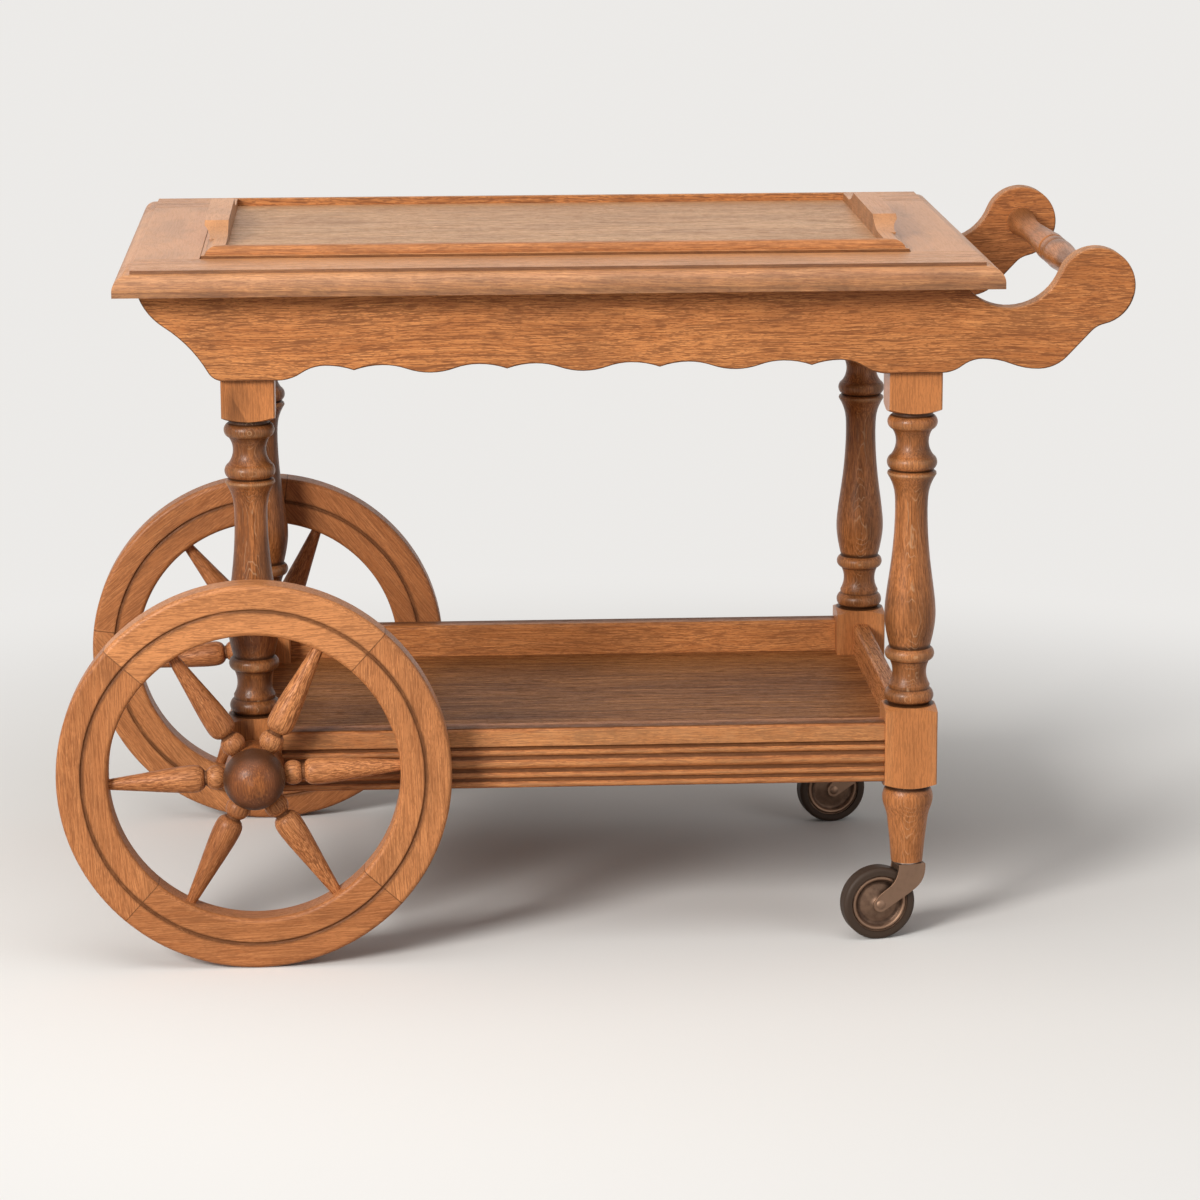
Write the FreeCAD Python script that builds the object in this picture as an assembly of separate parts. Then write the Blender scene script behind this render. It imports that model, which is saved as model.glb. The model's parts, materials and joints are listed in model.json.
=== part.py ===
import FreeCAD, Part
import math
import os

os.makedirs("parts", exist_ok=True)

# A serving trolley of oak, in millimetres. The origin is on the floor, in the middle of
# the box round the whole trolley. The push handle is at +X and the front is at -Y.

# Driving sizes
leg_spacing = 576.0
leg_spread = 388.0
leg_block = 46.0
top_height = 612.5
cart_wheel_diameter = 342.0
caster_diameter = 66.0

# Top
top_thickness = 21.3
top_step = 3.0
top_round = 13.3
top_ledge = 1.6
top_overhang = 35.5
wheel_end_overhang = 110.8
handle_end_overhang = 69.9

# Tray in the top
tray_end_margin = 72.0
tray_side_margin = 84.5
tray_clearance = 1.0
rest_gap = 0.1
tray_rise = 9.8
tray_moulding_width = 15.5
tray_end_width = 21.0
tray_fillet = 2.6
tray_ledge_width = 2.8
tray_flat = 6.0
tray_floor_rise = 3.0
tray_floor_thickness = 6.0
tray_tongue = 5.0
tongue_rebate = 1.5
grip_rise = 20.5
grip_length = 153.0
grip_ramp = 44.0
grip_lip = 3.8
grip_undercut = 6.0

# Side rails with the arms
rail_thickness = 20.0
rail_proud = 8.0
rail_depth = 77.5
rail_tail = 92.2
rail_softness = 1.6
flat_reach = 26.0
flat_reach_out = 21.0
end_run = 91.5
arch_half = 24.5
arch_rise = 12.4
cusp_drop = 4.2
lobe_drop = 7.0
cusp_count = 4
head_radius = 33.4
head_reach = 154.0
head_drop = 3.8
dip_before_head = 75.0
dip_depth = 21.4
slope_length = 30.0

# Handle rod
rod_tenon_radius = 8.0
rod_tenon_depth = 10.0
rod_end_radius = 13.6

# Cross rails, battens and blocks under the top
cross_rail_thickness = 20.0
cross_rail_depth = 60.0
bearer_thickness = 12.0
bearer_lip = 20.0
bearer_grip = 13.0
ledge_inset = 17.0
glue_block_length = 40.0
glue_block_height = 18.0
glue_blocks_per_side = 3
screw_radius = 1.8
screw_head_radius = 3.6
screw_head_height = 2.0
screw_bite = 9.0
screws_per_side = 4

# Legs
block_below_rail = 37.0
shoulder_drop = 4.2
lower_block_height = 73.0
foot_length = 71.0
fork_rise = 37.0
leg_arris = 1.2

# Lower shelf
shelf_rail_inset = 3.0
shelf_rail_thickness = 23.0
shelf_end_thickness = 15.0
shelf_rail_lift = 6.0
shelf_rail_height = 54.0
shelf_drop = 30.0
shelf_thickness = 8.0
shelf_groove = 6.0
shelf_soft = 3.5
reed_depth = 2.6
reed_gap = 2.2
reed_heights = (6.2, 6.0, 9.8, 6.2)

# Cart wheels
rim_width = 44.5
rim_thickness = 30.0
rim_round = 4.5
rim_groove_in = 22.3
rim_groove_radius = 1.7
felloe_count = 4
spoke_count = 6
hub_radius = 26.0
hub_front = 9.0
hub_soft = 2.5
wheel_offset = 26.0
hub_play = 3.0
ball_radius = 26.8
ball_centre = 15.0
nub_radius = 10.5
nub_tip_radius = 0.8
nub_height = 0.6
spoke_tip_radius = 4.7
spoke_root_radius = 7.5
spoke_tip_tenon = 9.0
spoke_root_tenon = 10.0
front_wheel_angle = 3.0
back_wheel_angle = 127.0
felloe_joint_angle = 45.0

# Axles
axle_radius = 6.0
axle_depth = 36.0
running_gap = 0.05
bush_radius = 9.0
washer_radius = 11.0
washer_thickness = 2.4
nut_flats = 19.0
nut_sides = 6
nut_height = 8.0
nut_play = 0.6
nut_room = 13.0
nut_room_depth = 11.0

# Casters
caster_trail = 27.0
caster_angle = 11.0
tyre_depth = 7.0
tyre_width = 17.0
tyre_round = 3.6
disc_width = 14.6
wheel_gap = 1.0
fork_plate = 2.0
fork_boss = 6.6
foot_gap = 0.3
flange_radius = 11.0
flange_thickness = 1.2
stem_radius = 5.0
stem_length = 33.0
socket_wall = 2.0
socket_length = 36.0
rivet_radius = 2.5
rivet_head_radius = 4.2
rivet_head_height = 1.5
boss_radius = 5.4

# One overrun for every cut, and the slack within which an edge counts as level
overrun = 2.0
level_slack = 0.1

# Shares, chosen by eye, of the sizes that they follow
corner_share = 0.72
screw_end_share = 0.1
moulding_bulge_share = (0.3, 0.7)
cove_bend_share = 0.72
cove_sag_share = 0.1
grip_sag_share = (0.38, 0.34)

# Turned middle of a leg: radius as a share of the block, height as a share of the turned run
leg_turning_shares = (
    ((0.380, 0.004),),
    ((0.472, 0.029), (0.392, 0.055)),
    ((0.395, 0.067),),
    ((0.325, 0.106), (0.370, 0.147)),
    ((0.378, 0.151),),
    ((0.475, 0.174), (0.388, 0.197)),
    ((0.437, 0.233), (0.489, 0.300), (0.456, 0.384), (0.370, 0.496), (0.313, 0.630),
     (0.312, 0.690), (0.345, 0.738), (0.400, 0.764), (0.470, 0.786)),
    ((0.462, 0.793),),
    ((0.400, 0.801),),
    ((0.478, 0.828), (0.407, 0.849)),
    ((0.312, 0.894), (0.386, 0.937)),
    ((0.478, 0.962), (0.385, 0.986)),
    ((0.380, 0.995),),
)

# Turned foot: radius as a share of the block, height as a share of the foot
foot_turning_shares = (
    ((0.330, 0.200), (0.378, 0.487), (0.420, 0.650), (0.470, 0.745), (0.488, 0.824),
     (0.465, 0.915), (0.413, 0.972)),
    ((0.413, 0.985),),
)
foot_end_share = 0.305

# Half of the handle rod: radius as a share of its end, distance as a share of the half
rod_turning_shares = (
    ((0.96, 0.04), (0.82, 0.15), (0.74, 0.28), (0.76, 0.42), (0.85, 0.60), (0.95, 0.78),
     (1.0, 0.89), (0.97, 0.925)),
    ((0.86, 0.936),),
    ((0.95, 0.958), (0.98, 1.0)),
)

# Spoke: radius as a share of the tip, distance as a share of its length
spoke_turning_shares = (
    ((2.28, 0.082), (1.38, 0.155)),
    ((1.38, 0.168),),
    ((2.25, 0.205), (2.55, 0.300), (2.36, 0.430), (1.90, 0.620), (1.42, 0.820), (1.0, 1.0)),
)

# Tail of a side rail: shares of its reach past the leg and of the rail's depth
tail_flat_share = 0.217
tail_shares = ((0.358, 0.098), (0.759, 0.608), (1.0, 1.0))

# Underside of an arm: shares of the handle's reach and of its height over the flats
arm_peak_share = (0.366, 0.162)
arm_lobe_share = (0.682, 0.035)
arm_slope_share = (0.841, 0.178)

# Side plate of a fork: shares of the trail and of the plate's height over the axle
fork_front_shares = ((1.52, 1.0), (1.49, 0.72), (1.36, 0.50), (1.20, 0.376), (0.97, 0.25))
fork_back_shares = ((0.10, 0.335), (0.385, 0.503), (0.55, 0.72), (0.604, 1.0))
fork_low_angle = -52.0
fork_end_angle = -140.0
fork_high_angle = 130.0

# Face of the caster disc: shares of the disc's radius and of half its width
disc_face_shares = ((0.30, 0.80), (0.45, 0.66), (0.60, 0.50), (0.70, 0.45), (0.77, 0.56),
                    (0.82, 0.82), (0.86, 0.97), (0.90, 0.99), (0.94, 0.92), (0.965, 0.84))
disc_lip_share = (0.985, 0.87)

# Heights worked out from the sizes
slab_under = top_height - top_thickness
rail_flat = slab_under - rail_depth
upper_block_base = rail_flat - block_below_rail
caster_radius = caster_diameter / 2
foot_base = caster_radius + fork_rise
lower_block_base = foot_base + foot_length
lower_block_top = lower_block_base + lower_block_height
shelf_rail_base = lower_block_base + shelf_rail_lift
shelf_rail_top = shelf_rail_base + shelf_rail_height
shelf_level = shelf_rail_top - shelf_drop
tray_base = slab_under + rest_gap
tray_top = top_height + tray_rise
tray_floor_top = top_height + tray_floor_rise
tray_floor_base = tray_floor_top - tray_floor_thickness
grip_top = top_height + grip_rise
handle_height = slab_under - head_drop
axle_height = cart_wheel_diameter / 2

# Places along and across the trolley
wheel_radius = cart_wheel_diameter / 2
overall_length = wheel_radius + leg_spacing + head_reach + head_radius
wheel_leg_x = wheel_radius - overall_length / 2
caster_leg_x = wheel_leg_x + leg_spacing
leg_y = leg_spread / 2
half_block = leg_block / 2
leg_outer_y = leg_y + half_block
leg_inner_y = leg_y - half_block
rail_outer_y = leg_outer_y + rail_proud
rail_inner_y = rail_outer_y - rail_thickness
top_half_width = rail_outer_y + top_overhang
slab_x0 = wheel_leg_x - wheel_end_overhang
slab_x1 = caster_leg_x + handle_end_overhang
tray_x0 = slab_x0 + tray_end_margin
tray_x1 = slab_x1 - tray_end_margin
tray_half_width = top_half_width - tray_side_margin
opening_x0 = tray_x0 - tray_clearance
opening_x1 = tray_x1 + tray_clearance
opening_half_width = tray_half_width + tray_clearance
handle_x = caster_leg_x + head_reach
shelf_outer_y = leg_outer_y - shelf_rail_inset
shelf_inner_y = shelf_outer_y - shelf_rail_thickness
wheel_mid_y = leg_outer_y + wheel_offset
hub_back = hub_play - wheel_offset
rim_inner_radius = wheel_radius - rim_width
bush_bore = axle_radius + running_gap
disc_radius = caster_radius - tyre_depth
socket_bore = stem_radius + running_gap
socket_radius = socket_bore + socket_wall

origin = FreeCAD.Vector(0, 0, 0)
along_x = FreeCAD.Vector(1, 0, 0)
along_y = FreeCAD.Vector(0, 1, 0)
along_z = FreeCAD.Vector(0, 0, 1)


# Helpers

def upright(y):
    """Places an outline point (x, z) in the upright plane at y."""
    return lambda point: FreeCAD.Vector(point[0], y, point[1])


def crosswise(x):
    """Places an outline point (y, z) in the plane across the trolley at x."""
    return lambda point: FreeCAD.Vector(x, point[0], point[1])


def level(z):
    """Places an outline point (x, y) in the level plane at z."""
    return lambda point: FreeCAD.Vector(point[0], point[1], z)


def path(start, steps, place):
    """A wire: a step of one point is a line, of two an arc, of more a smooth curve."""
    edges = []
    here = place(start)
    for step in steps:
        stops = [here] + [place(point) for point in step]
        if len(stops) == 2:
            edges.append(Part.makeLine(stops[0], stops[1]))
        elif len(stops) == 3:
            edges.append(Part.Arc(*stops).toShape())
        else:
            curve = Part.BSplineCurve()
            curve.interpolate(stops)
            edges.append(curve.toShape())
        here = stops[-1]
    return Part.Wire(edges)


def board(start, steps, place, depth):
    """The outline made solid along the vector depth."""
    return Part.Face(path(start, steps, place)).extrude(depth)


def turned(base, steps, top, angle=360):
    """A piece turned about Z: steps are (radius, height), base and top are on the axis."""
    closed = list(steps) + [((0, top),), ((0, base),)]
    return Part.Face(path((0, base), closed, upright(0))).revolve(origin, along_z, angle)


def scaled(steps, width, height, base):
    """Share steps made real: widths from the axis, heights from base."""
    return [tuple((w * width, base + h * height) for w, h in step) for step in steps]


def block(x0, x1, y0, y1, z0, z1):
    return Part.makeBox(x1 - x0, y1 - y0, z1 - z0, FreeCAD.Vector(x0, y0, z0))


def rod(radius, length, base, direction):
    return Part.makeCylinder(radius, length, base, direction)


def mirrored(shape):
    """The piece at the other side of the trolley."""
    return shape.mirror(origin, along_y)


def moved(shape, x, y, z):
    copy = shape.copy()
    copy.translate(FreeCAD.Vector(x, y, z))
    return copy


def spun(shape, axis, angle):
    copy = shape.copy()
    copy.rotate(origin, axis, angle)
    return copy


def polar(centre, radius, angle):
    turn = math.radians(angle)
    return (centre[0] + radius * math.cos(turn), centre[1] + radius * math.sin(turn))


def tangent_arc(start, heading, end):
    """The middle of the arc that leaves start at heading, and the heading at its end."""
    run = end[0] - start[0]
    rise = end[1] - start[1]
    bend = math.degrees(math.atan2(rise, run)) - heading
    reach = math.hypot(run, rise) / 2 / math.cos(math.radians(bend / 2))
    return polar(start, reach, heading + bend / 2), heading + 2 * bend


def level_arc_middle(level_end, other_end):
    """The middle of the arc that starts level at one end and reaches the other end."""
    heading = 0 if other_end[0] > level_end[0] else 180
    if heading and other_end[1] < level_end[1]:
        heading = -180
    return tangent_arc(level_end, heading, other_end)[0]


def ess(start, end):
    """Two arcs that leave level, meet halfway and arrive level."""
    middle = ((start[0] + end[0]) / 2, (start[1] + end[1]) / 2)
    return [(level_arc_middle(start, middle), middle), (level_arc_middle(end, middle), end)]


def longest_first(shape):
    """One solid out of a boolean result, so that the file holds a plain solid."""
    return sorted(shape.Solids, key=lambda solid: -solid.Volume)[0]


def export(name, *solids):
    """One file for one node. A node of several like pieces is a group of solids."""
    shape = longest_first(solids[0]) if len(solids) == 1 else Part.makeCompound(list(solids))
    shape.exportStep("parts/" + name + ".step")


# Top of two strips and two end boards, with a moulded edge

def moulded_slab():
    """The whole top before it is parted: upright foot, quarter round, small step."""
    low = block(slab_x0, slab_x1, -top_half_width, top_half_width,
                slab_under, top_height - top_step)
    upper_rim = [edge for edge in low.Edges
                 if edge.BoundBox.ZMin > top_height - top_step - level_slack]
    low = low.makeFillet(top_round, upper_rim)
    inset = top_round + top_ledge
    high = block(slab_x0 + inset, slab_x1 - inset, -top_half_width + inset,
                 top_half_width - inset, top_height - top_step, top_height)
    return low.fuse(high).removeSplitter()


def top_strip(slab):
    return slab.common(block(slab_x0 - overrun, slab_x1 + overrun,
                             -top_half_width - overrun, -opening_half_width,
                             slab_under - overrun, top_height + overrun))


def top_end(slab, x0, x1):
    return slab.common(block(x0, x1, -opening_half_width, opening_half_width,
                             slab_under - overrun, top_height + overrun))


# Tray

def moulding_outline(width, place, depth):
    """Section of a tray moulding, from its outer foot at zero inwards."""
    fillet_top = top_height + tray_fillet
    round_end = width - tray_flat
    bulge = (tray_ledge_width + (round_end - tray_ledge_width) * moulding_bulge_share[0],
             fillet_top + (tray_top - fillet_top) * moulding_bulge_share[1])
    steps = [((0, fillet_top),), ((tray_ledge_width, fillet_top),),
             (bulge, (round_end, tray_top)),
             ((width, tray_top),), ((width, tray_base),), ((0, tray_base),)]
    return board((0, tray_base), steps, place, depth)


def tray_panel(tongue, top):
    """A layer of the floor between the mouldings, with a tongue into each of them."""
    half = tray_half_width - tray_moulding_width + tongue
    return block(tray_x0 + tray_end_width - tongue, tray_x1 - tray_end_width + tongue,
                 -half, half, tray_floor_base, top)


def tray_groove():
    """The space of the floor's tongue, which every moulding is grooved for."""
    return tray_panel(tray_tongue, tray_floor_top - tongue_rebate)


def tray_floor():
    """The floor, with a tongue all round that lies lower than its face."""
    return tray_groove().fuse(tray_panel(0, tray_floor_top)).removeSplitter()


def tray_moulding():
    """The front moulding, mitred at both ends."""
    place = lambda point: FreeCAD.Vector(tray_x0, -tray_half_width + point[0], point[1])
    bar = moulding_outline(tray_moulding_width, place, along_x * (tray_x1 - tray_x0))
    plan = board((tray_x0, -tray_half_width),
                 [((tray_x1, -tray_half_width),),
                  ((tray_x1 - tray_end_width, -tray_half_width + tray_moulding_width),),
                  ((tray_x0 + tray_end_width, -tray_half_width + tray_moulding_width),),
                  ((tray_x0, -tray_half_width),)],
                 level(tray_base - overrun), along_z * (grip_top - tray_base + 2 * overrun))
    return bar.common(plan).cut(tray_groove())


def tray_end():
    """The moulding at the wheel end with its raised grip, mitred at both ends."""
    place = lambda point: FreeCAD.Vector(tray_x0 + point[0], -tray_half_width, point[1])
    width = tray_end_width
    bar = moulding_outline(width, place, along_y * (2 * tray_half_width))
    half_grip = grip_length / 2
    foot = half_grip + grip_ramp
    lip_foot = grip_top - grip_lip
    cove_foot = top_height + tray_fillet + (tray_top - top_height - tray_fillet) / 2
    cove_end = (grip_undercut, cove_foot)
    cove_middle = (grip_undercut * cove_bend_share,
                   (lip_foot + cove_foot) / 2 + grip_lip * cove_sag_share)
    beside = lambda point: FreeCAD.Vector(tray_x0 + point[0], -foot, point[1])
    grip = board((0, lip_foot),
                 [(cove_middle, cove_end), ((grip_undercut, tray_floor_top),),
                  ((width, tray_floor_top),), ((width, grip_top),), ((0, grip_top),),
                  ((0, lip_foot),)],
                 beside, along_y * (2 * foot))
    sag = (half_grip + grip_ramp * grip_sag_share[0],
           tray_top + (grip_top - tray_top) * grip_sag_share[1])
    side = board((-foot, tray_floor_top),
                 [((-foot, tray_top),), ((-sag[0], sag[1]), (-half_grip, grip_top)),
                  ((half_grip, grip_top),), (sag, (foot, tray_top)),
                  ((foot, tray_floor_top),), ((-foot, tray_floor_top),)],
                 crosswise(tray_x0 - overrun), along_x * (width + 2 * overrun))
    plan = board((tray_x0, -tray_half_width),
                 [((tray_x0 + width, -tray_half_width + tray_moulding_width),),
                  ((tray_x0 + width, tray_half_width - tray_moulding_width),),
                  ((tray_x0, tray_half_width),), ((tray_x0, -tray_half_width),)],
                 level(tray_base - overrun), along_z * (grip_top - tray_base + 2 * overrun))
    return bar.fuse(grip.common(side)).common(plan).cut(tray_groove())


# Side rails

def tail_steps():
    """The tail from the foot of the rail up to its top corner, as arcs that flow on."""
    low = rail_flat
    here = (wheel_leg_x - tail_flat_share * rail_tail, low)
    heading = 180
    arcs = []
    for reach, climb in tail_shares:
        end = (wheel_leg_x - reach * rail_tail, low + climb * rail_depth)
        middle, heading = tangent_arc(here, heading, end)
        arcs.append((here, middle, end))
        here = end
    return arcs


def scallop_steps():
    """The edge between the legs: arches that meet in cusps, with round lobes between."""
    low = rail_flat
    period = (leg_spacing - 2 * end_run) / (cusp_count - 1)
    peak_level = low + arch_rise
    here = (wheel_leg_x + flat_reach, low)
    steps = [(here,)]
    for index in range(cusp_count):
        cusp = (wheel_leg_x + end_run + index * period, peak_level - cusp_drop)
        peak_in = (cusp[0] - arch_half, peak_level)
        peak_out = (cusp[0] + arch_half, peak_level)
        if index:
            lobe = (cusp[0] - period / 2, peak_level - lobe_drop)
            steps += ess(here, lobe) + ess(lobe, peak_in)
        else:
            steps += ess(here, peak_in)
        steps += [(level_arc_middle(peak_in, cusp), cusp),
                  (level_arc_middle(peak_out, cusp), peak_out)]
        here = peak_out
    return steps + ess(here, (caster_leg_x - flat_reach, low))


def arm_steps():
    """The arm: one more lobe, a slope, the round head, and the dip back to the top."""
    low = rail_flat
    centre = (handle_x, handle_height)

    def arm(share):
        return (caster_leg_x + share[0] * head_reach, low + share[1] * (handle_height - low))

    flat_end = (caster_leg_x + flat_reach_out, low)
    peak = arm(arm_peak_share)
    lobe = arm(arm_lobe_share)
    slope_low = arm(arm_slope_share)
    middle, heading = tangent_arc(lobe, 0, slope_low)
    steps = [(flat_end,)] + ess(flat_end, peak) + ess(peak, lobe) + [(middle, slope_low)]
    slope_high = polar(slope_low, slope_length, heading)
    # the hollow between the slope and the head touches both
    offset = (slope_high[0] - centre[0], slope_high[1] - centre[1])
    normal = polar((0, 0), 1, heading - 90)
    beside = normal[0] * offset[0] + normal[1] * offset[1]
    hollow = ((math.hypot(*offset) ** 2 - head_radius ** 2) / (2 * (head_radius - beside)))
    pivot = polar(slope_high, hollow, heading - 90)
    head_low = math.degrees(math.atan2(pivot[1] - centre[1], pivot[0] - centre[0]))
    neck = polar(centre, head_radius, head_low)
    # the dip is an arc that touches the head and goes down to its own depth
    lift = handle_height - (slab_under - dip_depth)
    dip_radius = ((dip_before_head ** 2 + lift ** 2 - head_radius ** 2)
                  / (2 * (head_radius + lift)))
    dip_centre = (handle_x - dip_before_head, slab_under - dip_depth + dip_radius)
    head_high = math.degrees(math.atan2(dip_centre[1] - centre[1], dip_centre[0] - centre[0]))
    rise = dip_centre[1] - slab_under
    dip_end = (dip_centre[0] - math.sqrt(dip_radius ** 2 - rise ** 2), slab_under)
    return steps + [(slope_high,), (tangent_arc(slope_high, heading, neck)[0], neck),
                    (polar(centre, head_radius, (head_low + head_high) / 2),
                     polar(centre, head_radius, head_high)),
                    (polar(dip_centre, dip_radius, -90), dip_end)]


def side_rail():
    """The front rail: a tail at the wheel end, scallops, and the arm with its round head."""
    arcs = tail_steps()
    steps = scallop_steps() + arm_steps() + [(arcs[-1][2],)]
    steps += [(middle, foot) for foot, middle, end in reversed(arcs)]
    rail = board(arcs[0][0], steps, upright(-rail_outer_y), along_y * rail_thickness)
    rims = [edge for edge in rail.Edges
            if edge.BoundBox.YLength < level_slack
            and edge.BoundBox.ZMin < slab_under - level_slack]
    return rail.makeFillet(rail_softness, rims)


def handle_mortise():
    return rod(rod_tenon_radius, rod_tenon_depth + overrun,
               FreeCAD.Vector(handle_x, -rail_inner_y + overrun, handle_height), -along_y)


# Handle rod

def handle_rod():
    half = rail_inner_y
    shares = [tuple((r * rod_end_radius, -half + d * half) for r, d in step)
              for step in rod_turning_shares]
    # the second half runs back through the same stops
    stops = [(rod_end_radius, -half)] + [point for step in shares for point in step]
    back = []
    for step in reversed(rod_turning_shares):
        count = len(step)
        tail = stops[-count - 1:]
        back.append(tuple((r, -d) for r, d in reversed(tail[:-1])))
        stops = stops[:-count]
    steps = [((rod_tenon_radius, -half - rod_tenon_depth),), ((rod_tenon_radius, -half),),
             ((rod_end_radius, -half),)] + shares + back
    steps += [((rod_tenon_radius, half),), ((rod_tenon_radius, half + rod_tenon_depth),)]
    shape = turned(-half - rod_tenon_depth, steps, half + rod_tenon_depth)
    return moved(spun(shape, along_x, -90), handle_x, 0, handle_height)


# Legs

def leg(x, has_foot):
    """A front leg: square blocks with turned shoulders and a turned middle."""
    corner = leg_block * corner_share
    turned_run = upper_block_base - lower_block_top
    steps = []
    if has_foot:
        base = foot_base
        steps.append(((foot_end_share * leg_block, base),))
        steps += scaled(foot_turning_shares, leg_block, foot_length, base)
    else:
        base = lower_block_base
    steps += [((half_block, lower_block_base),),
              ((corner, lower_block_base + shoulder_drop),),
              ((corner, lower_block_top - shoulder_drop),), ((half_block, lower_block_top),)]
    steps += scaled(leg_turning_shares, leg_block, turned_run, lower_block_top)
    steps += [((half_block, upper_block_base),),
              ((corner, upper_block_base + shoulder_drop),), ((corner, slab_under),)]
    blank = block(-half_block, half_block, -half_block, half_block, base, slab_under)
    arrises = [edge for edge in blank.Edges if edge.BoundBox.ZLength > leg_block]
    blank = blank.makeChamfer(leg_arris, arrises)
    shape = moved(turned(base, steps, slab_under).common(blank), x, -leg_y, 0)
    rail_seat = block(x - leg_block, x + leg_block, -rail_outer_y, -rail_inner_y,
                      rail_flat, slab_under + overrun)
    shape = shape.cut(rail_seat)
    if has_foot:
        return shape.cut(rod(socket_radius, socket_length + overrun,
                             FreeCAD.Vector(x, -leg_y, base - overrun), along_z))
    return shape.cut(rod(axle_radius, axle_depth + overrun,
                         FreeCAD.Vector(x, -leg_outer_y - overrun, axle_height), along_y))


# Cross rails, battens, blocks and screws under the top

def cross_rail(x):
    half = cross_rail_thickness / 2
    return block(x - half, x + half, -leg_inner_y, leg_inner_y,
                 slab_under - cross_rail_depth, slab_under)


bearer_inner_y = opening_half_width - bearer_lip
bearer_outer_y = opening_half_width + bearer_grip
bearer_x0 = wheel_leg_x + half_block
bearer_x1 = caster_leg_x - half_block
screw_y = (opening_half_width + bearer_outer_y) / 2


def screw_places():
    run = bearer_x1 - bearer_x0
    first = bearer_x0 + run * screw_end_share
    pitch = run * (1 - 2 * screw_end_share) / (screws_per_side - 1)
    return [first + index * pitch for index in range(screws_per_side)]


def screw(x, y):
    foot = slab_under - bearer_thickness
    shank = rod(screw_radius, bearer_thickness + screw_bite, FreeCAD.Vector(x, y, foot), along_z)
    head = rod(screw_head_radius, screw_head_height,
               FreeCAD.Vector(x, y, foot - screw_head_height), along_z)
    return shank.fuse(head)


def tray_bearer():
    shape = block(bearer_x0, bearer_x1, -bearer_outer_y, -bearer_inner_y,
                  slab_under - bearer_thickness, slab_under)
    for x in screw_places():
        shape = shape.cut(screw(x, -screw_y))
    return shape


def tray_ledge():
    """The batten under the end board at the wheel end."""
    half = opening_half_width - ledge_inset
    return block(opening_x0 - bearer_lip, opening_x0 + bearer_lip, -half, half,
                 slab_under - bearer_thickness, slab_under)


def glue_blocks():
    pitch = leg_spacing / (glue_blocks_per_side + 1)
    half = glue_block_length / 2
    blocks = []
    for index in range(glue_blocks_per_side):
        x = wheel_leg_x + (index + 1) * pitch
        one = block(x - half, x + half, -rail_inner_y, -bearer_outer_y,
                    slab_under - glue_block_height, slab_under)
        blocks += [one, mirrored(one)]
    return blocks


# Lower shelf

def shelf_rail_section(thickness):
    """Section from the outer face at zero inwards: reeds below, a plain band above."""
    steps = []
    z = shelf_rail_base
    for index, height in enumerate(reed_heights):
        steps.append(((0, z + height / 2), (reed_depth, z + height)))
        z += height + reed_gap
        steps.append(((reed_depth, z),))
    steps += [((0, z + reed_gap / 2),), ((0, shelf_rail_top - shelf_soft),),
              (polar((shelf_soft, shelf_rail_top - shelf_soft), shelf_soft, 135),
               (shelf_soft, shelf_rail_top)),
              ((thickness - shelf_soft, shelf_rail_top),),
              (polar((thickness - shelf_soft, shelf_rail_top - shelf_soft), shelf_soft, 45),
               (thickness, shelf_rail_top - shelf_soft)),
              ((thickness, shelf_rail_base),), ((reed_depth, shelf_rail_base),)]
    return steps


def shelf_layer(x_inset, half_width, top):
    return block(wheel_leg_x + x_inset, caster_leg_x - x_inset, -half_width, half_width,
                 shelf_level - shelf_thickness, top)


def shelf_panel():
    """The shelf, with a tongue in the rails that lies lower than its face."""
    half_end = shelf_end_thickness / 2
    panel = shelf_layer(half_end - shelf_groove, shelf_inner_y + shelf_groove,
                        shelf_level - tongue_rebate)
    panel = panel.fuse(shelf_layer(half_block, shelf_inner_y, shelf_level))
    panel = panel.fuse(shelf_layer(half_end, leg_inner_y, shelf_level)).removeSplitter()
    for x in (wheel_leg_x, caster_leg_x):
        for y in (-leg_y, leg_y):
            panel = panel.cut(block(x - half_block, x + half_block, y - half_block,
                                    y + half_block, lower_block_base, lower_block_top))
    return panel


def shelf_rail(panel):
    place = lambda point: FreeCAD.Vector(wheel_leg_x + half_block,
                                         -shelf_outer_y + point[0], point[1])
    bar = board((reed_depth, shelf_rail_base), shelf_rail_section(shelf_rail_thickness),
                place, along_x * (leg_spacing - leg_block))
    return bar.cut(panel)


def shelf_end(panel, x, outward):
    place = lambda point: FreeCAD.Vector(x + outward * (shelf_end_thickness / 2 - point[0]),
                                         -leg_inner_y, point[1])
    bar = board((reed_depth, shelf_rail_base), shelf_rail_section(shelf_end_thickness),
                place, along_y * (2 * leg_inner_y))
    return bar.cut(panel)


# Cart wheels, made with the axle along Z and the outer face up, then stood upright

def stood(shape, at_front):
    """A wheel piece in its place at the front of the trolley, or mirrored at the back."""
    upright_piece = moved(spun(shape, along_x, 90), wheel_leg_x, -wheel_mid_y, axle_height)
    return upright_piece if at_front else mirrored(upright_piece)


def rim_section_steps():
    inner = rim_inner_radius
    outer = wheel_radius
    half = rim_thickness / 2
    groove = wheel_radius - rim_groove_in
    bead = rim_groove_radius
    soft = rim_round
    return [((groove - bead, -half),),
            ((groove, -half + bead), (groove + bead, -half)),
            ((outer - soft, -half),),
            (polar((outer - soft, -half + soft), soft, -45), (outer, -half + soft)),
            ((outer, half - soft),),
            (polar((outer - soft, half - soft), soft, 45), (outer - soft, half)),
            ((groove + bead, half),),
            ((groove, half - bead), (groove - bead, half)),
            ((inner + soft, half),),
            (polar((inner + soft, half - soft), soft, 135), (inner, half - soft)),
            ((inner, -half + soft),),
            (polar((inner + soft, -half + soft), soft, 225), (inner + soft, -half))]


def spoke_angles():
    return [index * 360 / spoke_count for index in range(spoke_count)]


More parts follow.
